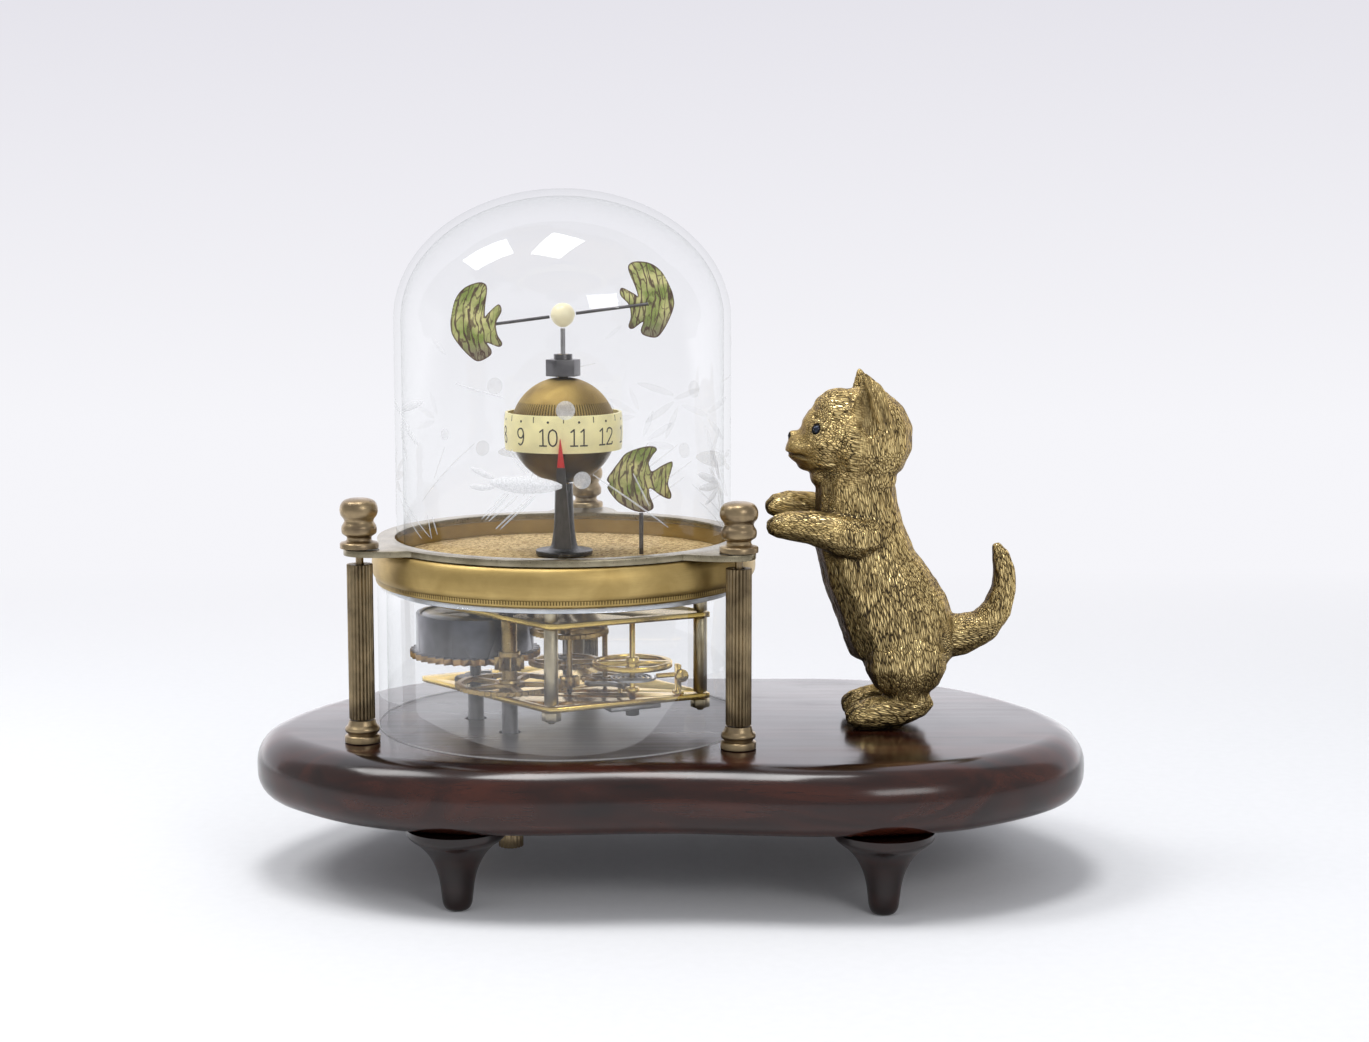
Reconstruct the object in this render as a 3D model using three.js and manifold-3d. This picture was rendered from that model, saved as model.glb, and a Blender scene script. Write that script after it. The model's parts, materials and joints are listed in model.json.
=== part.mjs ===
// Automaton clock: a kitten watches fish circling under a glass dome. The dome stands in a brass
// ring on fluted pillars over an open movement, and a banded ball under the fish shows the hour.
// Millimetres, +Z up. The origin is under the middle of the wooden base, on the table.
import * as THREE from "three";
import { mergeVertices } from "three/addons/utils/BufferGeometryUtils.js";
import Module from "manifold-3d";

const wasm = await Module();
wasm.setup();

// Clearances
const SEAT = 0.3; // between pieces that rest on or in each other
const RUN = 0.35; // around a turning arbor, all round

// Wooden base on turned feet
const BASE_LENGTH = 231.8;
const BASE_DEPTH = 134;
const BASE_THICK = 18.7;
const TOP_ROUND = 6;
const UNDER_ROUND = 7;
const FOOT_HEIGHT = 22.5;
const FOOT_HEAD_R = 13.3;
const FOOT_TIP_R = 3.6;
const FOOT_FLAT_R = 1.8;

// Upright axis of the dome, the ball and the fish
const CLOCK_X = -29.7;
const CLOCK_Y = -2.5;

// Glass
const DOME_R = 46.8;
const DOME_WALL = 2;
const DOME_HEIGHT = 101.8;
const DOME_CROWN = 36; // height of the rounded top
const GLASS_STEP = 5.6; // how far the lower glass stands outside the dome
const LOWER_GLASS_WALL = 2.5;
const LOWER_GLASS_HEIGHT = 40.5;
const GROOVE_DEPTH = 0.7;

// Brass ring round the foot of the dome
const BEZEL_BULGE = 1.4; // how far it stands proud of the lower glass
const BEZEL_HEIGHT = 10.6;
const BEZEL_BORE_GAP = 1.2;
const LEDGE_THICK = 4.7;
const LEDGE_REACH = 3.5;
const FLANGE_THICK = 1.7;
const FLANGE_SET_BACK = 1.6;
const EAR_R = 4.2;
const EAR_SPREAD = 0.2; // radians to each side of the ear's middle
const FLOOR_THICK = 1.8;
const CARRIER_THICK = 1.5;

// Fluted pillars
const PILLAR_R = 3.5;
const FLUTES = 16;
const FLUTE_DEPTH = 0.4;
const PILLAR_GAP = 3.8; // between a pillar and the ring
const PILLARS = {
  left: THREE.MathUtils.degToRad(208.7),
  right: THREE.MathUtils.degToRad(322.2),
  back: THREE.MathUtils.degToRad(86.6),
};
const COLLAR_R = 4.8;
const COLLAR_HEIGHT = 6;
const BARE_ROD = 2.4; // rod showing under the flange ear
const ROD_R = 1.05;
const FINIAL_R = 5.2;
const FINIAL_HEIGHT = 13.5;

// Ball with the hour band
const POST_R = 2.5;
const POST_FOOT_R = 8;
const POST_FOOT_THICK = 1.2;
const BALL_R = 14.8;
const BALL_WALL = 1.2;
const BALL_RISE = 35.2; // ball centre above the sand floor
const BAND_R = 16.6;
const BAND_WALL = 0.7;
const BAND_HEIGHT = 10.3;
const WEB_THICK = 0.8;
const WEB_GAP = 0.4; // between the band's web and each half ball
const HOUR_TUBE_R = 1.5;
const SPINDLE_R = 0.7;
const NUT_R = 4.9;
const NUT_HEIGHT = 4.6;
const NUT_STEP_R = 2.6;
const NUT_STEP_HEIGHT = 1.5;
const POINTER_BASE = 4.8;
const POINTER_THICK = 0.8;
const POINTER_OVERLAP = 3.4; // how far its tip stands in front of the band
const POINTER_GAP = 0.9;

// Fish
const BEAD_R = 3.4;
const BEAD_RISE = 32; // bead centre above the ball centre
const ARM_HALF = 24;
const FISH_PAST_ARM = 0.8; // fish middle beyond the end of its wire
const FISH_LIFT = 1.2; // fish middle above its wire
const ARM_R = 0.45;
const ARM_TILT = THREE.MathUtils.degToRad(7.5);
const FISH_THICK = 1;
const FISH_HEIGHT = 21.6;
const FLOOR_FISH_HEIGHT = 18.4;
const FLOOR_FISH_X = 21.7;
const FLOOR_FISH_Y = -1.5;
const FLOOR_FISH_RISE = 12;
const FISH_ROD_R = 0.6;

// Movement plates, seen from above in the clock's own axes
const MOTION_SPACE = 5.6; // between the carrier and the upper plate
const PLATE_THICK = 1.4;
const PLATE_GAP = 21.4;
const PLATE_CORNERS = [[-2.5, -34.5], [42, -13], [2.5, 34.5], [-43, 11.5]];
const PLATE_ROUND = 3;
const PLATE_PILLAR_R = 2;
const PLATE_PILLAR_INSET = 4;
const STUD_R = 1;
const PLATE_NUT_R = 2.7;
const PLATE_NUT_HEIGHT = 2.4;
const PIVOT_R = 0.5;
const STAFF_R = 0.8;

// Going train: teeth and modules, barrel to escape wheel
const LEAVES = 8;
const GREAT_TEETH = 40;
const GREAT_MODULE = 0.883;
const CENTRE_TEETH = 48;
const CENTRE_MODULE = 0.607;
const THIRD_TEETH = 40;
const THIRD_MODULE = 0.525;
const FOURTH_TEETH = 40;
const FOURTH_MODULE = 0.5;
const ESCAPE_TEETH = 15;
const ESCAPE_R = 7;
const WHEEL_THICK = 1.2;
const PINION_OVERHANG = 0.8; // pinion face past each side of its wheel
const GREAT_THICK = 2;

// Motion work from the setting arbor to the hour band
const CANNON_LEAVES = 8;
const MINUTE_TEETH = 24;
const MINUTE_MODULE = 0.72;
const MINUTE_LEAVES = 8;
const HOUR_TEETH = 32;
const HOUR_MODULE = 0.57;

// Places of the arbors and heights of the wheels above the lower plate
const CENTRE_X = -14.5;
const CENTRE_Y = -17;
const BARREL_BEARING = THREE.MathUtils.degToRad(121.2);
const ESCAPE_BEARING = THREE.MathUtils.degToRad(-18);
const BALANCE_X = 19.5;
const BALANCE_Y = -20;
const RATCHET_RISE = 0.6;
const CENTRE_RISE = 2.6;
const ESCAPE_RISE = 1.8;
const FOURTH_RISE = 5.8;
const GREAT_RISE = 8.2;
const THIRD_RISE = 16.7;

// Barrel, winding and setting
const DRUM_R = 16.6;
const DRUM_WALL = 1.2;
const DRUM_HEIGHT = 10.4;
const LID_THICK = 1.1;
const SPRING_TURNS = 5;
const SPRING_THICK = 0.7;
const ARBOR_R = 2.3; // thick part below the movement
const BARREL_ARBOR_R = 1.6;
const BARREL_HUB_R = 3.4;
const SETTING_ARBOR_R = 1.1;
const RATCHET_R = 6;
const RATCHET_TEETH = 20;
const CLICK_REACH = 9.2;
const CLICK_BEARING = THREE.MathUtils.degToRad(75);
const KNOB_DROP = 6.6; // knob top below the wood
const WINDING_KNOB_R = 6.4;
const SETTING_KNOB_R = 3.5;
const KNOB_HEIGHT = 7;
const KNOB_RIBS = 18;

// Lever and balance
const LEVER_FROM_ESCAPE = 10;
const LEVER_STUD_R = 0.6;
const BALANCE_R = 11;
const BALANCE_RIM = 1.5;
const BALANCE_RISE = 9;
const ROLLER_R = 1.9;
const HAIRSPRING_RISE = 5.4;
const HAIRSPRING_TURNS = 4;
const HAIRSPRING_R = 6.6;
const HAIRSPRING_COLLET_R = 1.5;
const HAIRSPRING_THICK = 0.3;
const HAIRSPRING_WIDTH = 0.6;
const BRACKET_X = 32;
const BRACKET_Y = -15.4;
const BRACKET_WIDTH = 2.4;
const BRIDGE_LENGTH = 15;
const BRIDGE_WIDTH = 5;
const BRIDGE_THICK = 1.2;

// Kitten
const CAT_X = 60.4; // middle of its feet
const CAT_Y = -6.5;
const CAT_HEIGHT = 99;
const CAT_FOOT_SPREAD = 8;

// Heights that follow from the sizes above
const WOOD_BOTTOM = FOOT_HEIGHT + SEAT;
const WOOD_TOP = WOOD_BOTTOM + BASE_THICK;
const GLASS_BOTTOM = WOOD_TOP - GROOVE_DEPTH + SEAT;
const BEZEL_BOTTOM = GLASS_BOTTOM + LOWER_GLASS_HEIGHT + SEAT;
const BEZEL_TOP = BEZEL_BOTTOM + BEZEL_HEIGHT;
const FLANGE_BOTTOM = BEZEL_TOP + SEAT;
const FLANGE_TOP = FLANGE_BOTTOM + FLANGE_THICK;
const FLOOR_BOTTOM = BEZEL_BOTTOM + LEDGE_THICK + SEAT;
const FLOOR_TOP = FLOOR_BOTTOM + FLOOR_THICK;
const CARRIER_TOP = BEZEL_BOTTOM - SEAT;
const CARRIER_BOTTOM = CARRIER_TOP - CARRIER_THICK;
const UPPER_TOP = CARRIER_BOTTOM - MOTION_SPACE;
const UPPER_BOTTOM = UPPER_TOP - PLATE_THICK;
const LOWER_TOP = UPPER_BOTTOM - PLATE_GAP;
const LOWER_BOTTOM = LOWER_TOP - PLATE_THICK;
const BALL_Z = FLOOR_TOP + BALL_RISE;
const BEAD_Z = BALL_Z + BEAD_RISE;
const KNOB_TOP = WOOD_BOTTOM - KNOB_DROP;

// Radii that follow
const LOWER_GLASS_R = DOME_R + GLASS_STEP;
const BEZEL_R = LOWER_GLASS_R + BEZEL_BULGE;
const BEZEL_BORE = DOME_R + BEZEL_BORE_GAP;
const PILLAR_CIRCLE = BEZEL_R + PILLAR_R + PILLAR_GAP;
const ROD_BORE = ROD_R + SEAT;
const TUBE_BORE = SPINDLE_R + SEAT;
const POST_BORE = HOUR_TUBE_R + RUN;

// Colours
const finish = (color, roughness, metalness) =>
  new THREE.MeshStandardMaterial({ color, roughness, metalness });
const MAHOGANY = finish(0x3a1612, 0.25, 0);
const AGED_BRASS = finish(0x5f5031, 0.5, 0.9);
const BRASS = finish(0x9a7d3a, 0.35, 1);
const PALE_BRASS = finish(0xc2b98a, 0.35, 1);
const BRIGHT_BRASS = finish(0xd9b04a, 0.3, 1);
const STEEL = finish(0x6d6e72, 0.35, 1);
const DARK_STEEL = finish(0x3b3c40, 0.45, 1);
const GLASS = finish(0xe8eef0, 0.05, 0);
const SAND = finish(0xa8833f, 0.95, 0);
const WHITE_METAL = finish(0xcdd5dc, 0.4, 0.8);
const BLACK = finish(0x17181a, 0.5, 0.2);
const DARK_BRONZE = finish(0x3c3320, 0.4, 1);
const CREAM = finish(0xece0a6, 0.5, 0);
const RED = finish(0xc4201c, 0.4, 0);
const IVORY = finish(0xf0d9a0, 0.4, 0);
const FISH_GREEN = finish(0x6f8a37, 0.5, 0);
const GOLD_BRONZE = finish(0x8d7438, 0.45, 0.8);

// Shape tools

// Keeps positions only, shares vertices, drops flat triangles and turns the faces outwards.
function tidy(geometry) {
  const loose = geometry.index ? geometry.toNonIndexed() : geometry;
  const bare = new THREE.BufferGeometry().setAttribute("position", loose.getAttribute("position"));
  const merged = mergeVertices(bare, 1e-4);
  const position = merged.getAttribute("position");
  const index = [];
  const a = new THREE.Vector3();
  const b = new THREE.Vector3();
  const c = new THREE.Vector3();
  let volume = 0;
  for (let i = 0; i < merged.index.count; i += 3) {
    const [p, q, r] = [0, 1, 2].map((k) => merged.index.getX(i + k));
    if (p === q || q === r || r === p) continue;
    index.push(p, q, r);
    a.fromBufferAttribute(position, p);
    b.fromBufferAttribute(position, q);
    c.fromBufferAttribute(position, r);
    volume += a.dot(b.cross(c));
  }
  if (volume < 0) index.reverse();
  merged.setIndex(index);
  return merged;
}

function toSolid(geometry) {
  const closed = tidy(geometry);
  const vertProperties = new Float32Array(closed.getAttribute("position").array);
  const triVerts = new Uint32Array(closed.index.array);
  return new wasm.Manifold(new wasm.Mesh({ numProp: 3, vertProperties, triVerts }));
}

function toGeometry(solid) {
  const { vertProperties, triVerts } = solid.getMesh();
  const geometry = new THREE.BufferGeometry();
  geometry.setAttribute("position", new THREE.BufferAttribute(vertProperties, 3));
  geometry.setIndex(new THREE.BufferAttribute(triVerts, 1));
  return geometry;
}

const join = (...geometries) =>
  toGeometry(geometries.map(toSolid).reduce((whole, next) => whole.add(next)));

const cut = (body, ...tools) =>
  toGeometry(tools.map(toSolid).reduce((whole, next) => whole.subtract(next), toSolid(body)));

// Solid of revolution about Z from [radius, height] points.
function turned(profile, sides) {
  const points = profile.map(([r, z]) => new THREE.Vector2(r, z));
  return tidy(new THREE.LatheGeometry(points, sides).rotateX(Math.PI / 2));
}

const ring = (inner, outer, low, high, sides) =>
  turned([[inner, low], [outer, low], [outer, high], [inner, high], [inner, low]], sides);

const rod = (radius, low, high, sides) =>
  turned([[0, low], [radius, low], [radius, high], [0, high]], sides);

const block = (sx, sy, low, high) =>
  new THREE.BoxGeometry(sx, sy, high - low).translate(0, 0, (low + high) / 2);

// Flat plate between two heights from an outline and its holes.
function plate(outline, low, high, holes = []) {
  const shape = new THREE.Shape(outline);
  shape.holes = holes.map((hole) => new THREE.Path(hole));
  const depth = high - low;
  return tidy(new THREE.ExtrudeGeometry(shape, { depth, bevelEnabled: false }).translate(0, 0, low));
}

const polar = (radius, angle) =>
  new THREE.Vector2(radius * Math.cos(angle), radius * Math.sin(angle));

function circle(radius, sides, x = 0, y = 0) {
  return Array.from({ length: sides }, (_, i) =>
    polar(radius, (2 * Math.PI * i) / sides).add(new THREE.Vector2(x, y)));
}

// Outline of a wheel: pointed teeth with one root point between them.
function wheelOutline(teeth, module, phase) {
  const pitchR = (teeth * module) / 2;
  const step = (2 * Math.PI) / teeth;
  const points = [];
  for (let i = 0; i < teeth; i++) {
    const middle = phase + i * step;
    points.push(polar(pitchR + 0.85 * module, middle));
    points.push(polar(pitchR - 1.3 * module, middle + 0.5 * step));
  }
  return points;
}

// Outline of a pinion: leaves with tapered sides.
function pinionOutline(leaves, module, phase) {
  const pitchR = (leaves * module) / 2;
  const step = (2 * Math.PI) / leaves;
  const points = [];
  for (let i = 0; i < leaves; i++) {
    const middle = phase + i * step;
    points.push(polar(pitchR - 1.15 * module, middle - 0.2 * step));
    points.push(polar(pitchR + 0.65 * module, middle - 0.07 * step));
    points.push(polar(pitchR + 0.65 * module, middle + 0.07 * step));
    points.push(polar(pitchR - 1.15 * module, middle + 0.2 * step));
  }
  return points;
}

// Openings between the arms of a wheel.
function crossings(arms, inner, outer, armWidth) {
  return Array.from({ length: arms }, (_, i) => {
    const from = (2 * Math.PI * i) / arms;
    const to = (2 * Math.PI * (i + 1)) / arms;
    const tight = armWidth / 2 / inner;
    const wide = armWidth / 2 / outer;
    const arc = [0, 1 / 3, 2 / 3, 1].map((t) =>
      polar(outer, THREE.MathUtils.lerp(from + wide, to - wide, t)));
    return [polar(inner, from + tight), ...arc, polar(inner, to - tight)];
  });
}

const pitchDistance = (teeth, leaves, module) => ((teeth + leaves) * module) / 2;

// Point at two given distances from two others, to the right of the line between them.
function meet(from, to, fromDistance, toDistance) {
  const line = to.clone().sub(from);
  const span = line.length();
  const along = (fromDistance ** 2 - toDistance ** 2 + span ** 2) / (2 * span);
  const aside = Math.sqrt(fromDistance ** 2 - along ** 2);
  line.divideScalar(span);
  const right = new THREE.Vector2(line.y, -line.x).multiplyScalar(aside);
  return from.clone().addScaledVector(line, along).add(right);
}

const bearing = (from, to) => Math.atan2(to.y - from.y, to.x - from.x);

// Phase that puts a leaf gap where the meshing wheel has a tooth.
const gapTowards = (angle, leaves) => angle + Math.PI / leaves;

// Loft of rings: each station has a place, a half height in the upright plane and a half width.
function loft(stations, sides) {
  const points = stations.map(({ at }) => new THREE.Vector3(...at));
  const rings = stations.map(({ tall, wide }, i) => {
    const before = points[Math.max(i - 1, 0)];
    const after = points[Math.min(i + 1, points.length - 1)];
    const along = after.clone().sub(before).normalize();
    const across = new THREE.Vector3(0, 1, 0).addScaledVector(along, -along.y).normalize();
    const up = along.clone().cross(across);
    return Array.from({ length: sides }, (_, k) => {
      const angle = (2 * Math.PI * k) / sides;
      const aside = across.clone().multiplyScalar(wide * Math.cos(angle));
      return points[i].clone().add(aside).addScaledVector(up, tall * Math.sin(angle));
    });
  });
  return skin(rings);
}

// Closed surface through rings of equally many points, with a flat end on each side.
function skin(rings) {
  const positions = [];
  const triangle = (...corners) => corners.forEach((v) => positions.push(v.x, v.y, v.z));
  const sides = rings[0].length;
  for (let i = 0; i + 1 < rings.length; i++) {
    for (let k = 0; k < sides; k++) {
      const next = (k + 1) % sides;
      triangle(rings[i][k], rings[i][next], rings[i + 1][next]);
      triangle(rings[i][k], rings[i + 1][next], rings[i + 1][k]);
    }
  }
  const flat = (v) => new THREE.Vector2(v.x, v.y);
  const level = (loop) => loop.every((v) => Math.abs(v.z - loop[0].z) < 1e-6);
  const close = (loop, turn) => {
    const faces = level(loop)
      ? THREE.ShapeUtils.triangulateShape(loop.map(flat), [])
      : loop.slice(2).map((_, k) => [0, k + 1, k + 2]);
    const ahead = !level(loop) || THREE.ShapeUtils.area(loop.map(flat)) > 0;
    for (const [p, q, r] of faces) {
      if (turn === ahead) triangle(loop[p], loop[r], loop[q]);
      else triangle(loop[p], loop[q], loop[r]);
    }
  };
  close(rings[0], true);
  close(rings[rings.length - 1], false);
  const geometry = new THREE.BufferGeometry();
  geometry.setAttribute("position", new THREE.Float32BufferAttribute(positions, 3));
  return tidy(geometry);
}

// Flat strip wound in a spiral, standing on its edge. Prints the least gap between its turns.
function spiral(name, inner, outer, turns, thick, low, high, start) {
  const STEPS = 16;
  const count = turns * STEPS;
  const middle = Array.from({ length: count + 1 }, (_, i) =>
    polar(THREE.MathUtils.lerp(inner, outer, i / count), start + (2 * Math.PI * i) / STEPS));
  const rings = middle.map((point) => {
    const aside = point.clone().normalize().multiplyScalar(thick / 2);
    return [[-1, low], [1, low], [1, high], [-1, high]].map(([side, z]) =>
      new THREE.Vector3(point.x + side * aside.x, point.y + side * aside.y, z));
  });
  let gap = Infinity;
  for (let i = 0; i + STEPS / 2 < middle.length; i++) {
    for (let k = i + STEPS / 2; k < middle.length; k++) {
      gap = Math.min(gap, middle[i].distanceTo(middle[k]) - thick);
    }
  }
  console.log(`${name}: least gap between turns ${gap.toFixed(2)} mm`);
  return skin(rings);
}

const clock = new THREE.Group();
clock.position.set(CLOCK_X, CLOCK_Y, 0);
const part = new THREE.Group();
part.add(clock);

function place(group, name, material, geometry, at = new THREE.Vector2()) {
  const mesh = new THREE.Mesh(geometry, material);
  mesh.name = name;
  mesh.position.set(at.x, at.y, 0);
  group.add(mesh);
  return mesh;
}

// Places of the arbors in the clock's axes
const axis = new THREE.Vector2(0, 0);
const centre = new THREE.Vector2(CENTRE_X, CENTRE_Y);
const greatDistance = pitchDistance(GREAT_TEETH, LEAVES, GREAT_MODULE);
const barrel = centre.clone().add(polar(greatDistance, BARREL_BEARING));
const third = meet(
  centre, axis,
  pitchDistance(CENTRE_TEETH, LEAVES, CENTRE_MODULE),
  pitchDistance(THIRD_TEETH, LEAVES, THIRD_MODULE),
);
const escape = polar(pitchDistance(FOURTH_TEETH, LEAVES, FOURTH_MODULE), ESCAPE_BEARING);
const balance = new THREE.Vector2(BALANCE_X, BALANCE_Y);
const leverLine = bearing(escape, balance);
const lever = escape.clone().add(polar(LEVER_FROM_ESCAPE, leverLine));
const minute = meet(
  axis, centre,
  pitchDistance(HOUR_TEETH, MINUTE_LEAVES, HOUR_MODULE),
  pitchDistance(MINUTE_TEETH, CANNON_LEAVES, MINUTE_MODULE),
);
const click = barrel.clone().add(polar(CLICK_REACH, CLICK_BEARING));
const plateCorners = PLATE_CORNERS.map(([x, y]) => new THREE.Vector2(x, y));
const platePillars = plateCorners.slice(0, 3).map((corner) =>
  corner.clone().setLength(corner.length() - PLATE_PILLAR_INSET));

// Wooden base: a kidney outline, hollowed a little in front, as shares of half the length and half
// the depth, rounded over above and below.
const KIDNEY = [
  [-1, -0.12], [-0.953, -0.44], [-0.85, -0.657], [-0.738, -0.813], [-0.63, -0.903], [-0.475, -0.97],
  [-0.31, -0.985], [-0.06, -0.958], [0.043, -0.958], [0.293, -1], [0.475, -0.993], [0.656, -0.918],
  [0.785, -0.784], [0.893, -0.62], [0.962, -0.448], [1, -0.15], [0.975, 0.12], [0.902, 0.403],
  [0.794, 0.672], [0.656, 0.851], [0.475, 0.948], [0.26, 0.963], [0.043, 0.97], [-0.13, 0.996],
  [-0.24, 1], [-0.39, 0.99], [-0.604, 0.925], [-0.742, 0.776], [-0.837, 0.567], [-0.919, 0.328],
  [-0.975, 0.09],
];
const BASE_SIDES = 50;
const ROUND_STEPS = 3;

function baseOutline() {
  const knots = KIDNEY.map(([x, y]) => new THREE.Vector3(x, y, 0));
  const loop = new THREE.CatmullRomCurve3(knots, true).getSpacedPoints(BASE_SIDES).slice(0, -1);
  const box = new THREE.Box3().setFromPoints(loop);
  const middle = box.getCenter(new THREE.Vector3());
  const size = box.getSize(new THREE.Vector3());
  return loop.map((v) => new THREE.Vector2(
    ((v.x - middle.x) / size.x) * BASE_LENGTH,
    ((v.y - middle.y) / size.y) * BASE_DEPTH,
  ));
}

function inset(loop, distance, z) {
  return loop.map((v, i) => {
    const before = loop[(i + loop.length - 1) % loop.length];
    const after = loop[(i + 1) % loop.length];
    const along = after.clone().sub(before).normalize();
    return new THREE.Vector3(v.x - along.y * distance, v.y + along.x * distance, z);
  });
}

function woodBase() {
  const outline = baseOutline();
  const rings = [];
  for (let i = 0; i <= ROUND_STEPS; i++) {
    const angle = (Math.PI / 2) * (i / ROUND_STEPS);
    const height = WOOD_BOTTOM + UNDER_ROUND * (1 - Math.cos(angle));
    rings.push(inset(outline, UNDER_ROUND * (1 - Math.sin(angle)), height));
  }
  for (let i = 0; i <= ROUND_STEPS; i++) {
    const angle = (Math.PI / 2) * (i / ROUND_STEPS);
    const height = WOOD_TOP - TOP_ROUND * (1 - Math.sin(angle));
    rings.push(inset(outline, TOP_ROUND * (1 - Math.cos(angle)), height));
  }
  const drill = rod(ARBOR_R + 2 * RUN, WOOD_BOTTOM - 1, WOOD_TOP + 1, 12);
  const shaftHole = (at) => drill.clone().translate(CLOCK_X + at.x, CLOCK_Y + at.y, 0);
  const grooveInner = LOWER_GLASS_R - LOWER_GLASS_WALL - SEAT;
  const groove = ring(grooveInner, LOWER_GLASS_R + SEAT, WOOD_TOP - GROOVE_DEPTH, WOOD_TOP + 1, 36);
  groove.translate(CLOCK_X, CLOCK_Y, 0);
  return cut(skin(rings), shaftHole(barrel), shaftHole(centre), groove);
}
place(part, "wood_base", MAHOGANY, woodBase());

// Turned feet: a wide head that flares down to a small rounded tip.
const FOOT_PLACES = {
  front_left: [-56.3, -49.7],
  front_right: [56.9, -53.3],
  back_left: [-56.3, 47],
  back_right: [56.9, 46],
};
const footProfile = [
  [0, 0], [FOOT_FLAT_R, 0], [FOOT_TIP_R, 1.8], [FOOT_TIP_R + 0.9, 7], [FOOT_TIP_R + 2.6, 12.5],
  [FOOT_HEAD_R * 0.75, FOOT_HEIGHT - 4], [FOOT_HEAD_R, FOOT_HEIGHT - 1.6], [FOOT_HEAD_R, FOOT_HEIGHT],
  [0, FOOT_HEIGHT],
];
for (const [name, [x, y]] of Object.entries(FOOT_PLACES)) {
  place(part, `foot_${name}`, MAHOGANY, turned(footProfile, 10), new THREE.Vector2(x, y));
}

// Pillars: a turned collar on the wood, a fluted column, and a finial on a rod through both.
const columnBottom = WOOD_TOP + SEAT + COLLAR_HEIGHT + SEAT;
const columnTop = FLANGE_BOTTOM - BARE_ROD;
const collarProfile = [
  [ROD_BORE, 0], [COLLAR_R, 0], [COLLAR_R, 1.7], [COLLAR_R - 0.9, 2.3], [COLLAR_R - 0.2, 3.4],
  [COLLAR_R - 0.7, 4.8], [PILLAR_R, COLLAR_HEIGHT], [ROD_BORE, COLLAR_HEIGHT], [ROD_BORE, 0],
];
const flutedOutline = Array.from({ length: 2 * FLUTES }, (_, i) =>
  polar(i % 2 ? PILLAR_R - FLUTE_DEPTH : PILLAR_R, (Math.PI * i) / FLUTES));
const finialFoot = FLANGE_TOP + SEAT;
const finialProfile = [
  [0, WOOD_TOP + SEAT], [ROD_R, WOOD_TOP + SEAT], [ROD_R, finialFoot], [FINIAL_R, finialFoot],
  ...[
    [1, 0.1], [0.62, 0.16], [0.62, 0.25], [0.9, 0.33], [0.88, 0.49], [0.76, 0.57], [0.95, 0.68],
    [0.84, 0.87], [0.45, 0.98], [0, 1],
  ].map(([wide, tall]) => [FINIAL_R * wide, finialFoot + FINIAL_HEIGHT * tall]),
];
for (const [name, angle] of Object.entries(PILLARS)) {
  const at = polar(PILLAR_CIRCLE, angle);
  const collar = turned(collarProfile, 10).translate(0, 0, WOOD_TOP + SEAT);
  const column = plate(flutedOutline, columnBottom, columnTop, [circle(ROD_BORE, 8)]);
  place(clock, `pillar_collar_${name}`, BRASS, collar, at);
  place(clock, `pillar_column_${name}`, AGED_BRASS, column, at);
  place(clock, `pillar_finial_${name}`, BRASS, turned(finialProfile, 10), at);
}

// Ring: bulged bezel with an inner ledge, flange plate with three ears, sand floor, carrier disc.
const bulge = (share, height) =>
  [LOWER_GLASS_R + BEZEL_BULGE * share, BEZEL_BOTTOM + BEZEL_HEIGHT * height];
const ledgeR = BEZEL_BORE - LEDGE_REACH;
const bezelProfile = [
  [ledgeR, BEZEL_BOTTOM], bulge(-0.7, 0), bulge(0.3, 0.1), bulge(1, 0.34), bulge(1, 0.62), bulge(0.5, 0.86),
  bulge(-0.4, 1), [BEZEL_BORE, BEZEL_TOP], [BEZEL_BORE, BEZEL_BOTTOM + LEDGE_THICK],
  [ledgeR, BEZEL_BOTTOM + LEDGE_THICK], [ledgeR, BEZEL_BOTTOM],
];
place(clock, "bezel_ring", BRASS, turned(bezelProfile, 32));

function flangeOutline() {
  const plain = BEZEL_R - FLANGE_SET_BACK;
  const reach = PILLAR_CIRCLE + EAR_R - plain;
  const earSteps = [-1, -0.85, -0.65, -0.45, -0.25, 0, 0.25, 0.45, 0.65, 0.85, 1];
  const ears = Object.values(PILLARS).sort((p, q) => p - q);
  return ears.flatMap((middle, i) => {
    const next = ears[(i + 1) % ears.length] + (i + 1 < ears.length ? 0 : 2 * Math.PI);
    const ear = earSteps.map((t) =>
      polar(plain + reach * Math.cos((Math.PI / 2) * t) ** 0.8, middle + EAR_SPREAD * t));
    const from = middle + EAR_SPREAD;
    const to = next - EAR_SPREAD;
    const rim = Array.from({ length: 11 }, (_, k) =>
      polar(plain, THREE.MathUtils.lerp(from, to, (k + 1) / 12)));
    return [...ear, ...rim];
  });
}
const earHoles = Object.values(PILLARS).map((angle) => {
  const at = polar(PILLAR_CIRCLE, angle);
  return circle(ROD_BORE, 8, at.x, at.y);
});
place(clock, "flange_plate", PALE_BRASS, plate(
  flangeOutline(), FLANGE_BOTTOM, FLANGE_TOP, [circle(DOME_R + 2 * SEAT, 36), ...earHoles],
));
place(clock, "sand_floor", SAND, ring(POST_BORE, BEZEL_BORE - SEAT, FLOOR_BOTTOM, FLOOR_TOP, 32));
place(clock, "carrier_disc", WHITE_METAL, ring(
  POST_BORE, LOWER_GLASS_R - LOWER_GLASS_WALL - SEAT, CARRIER_BOTTOM, CARRIER_TOP, 32,
));

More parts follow.
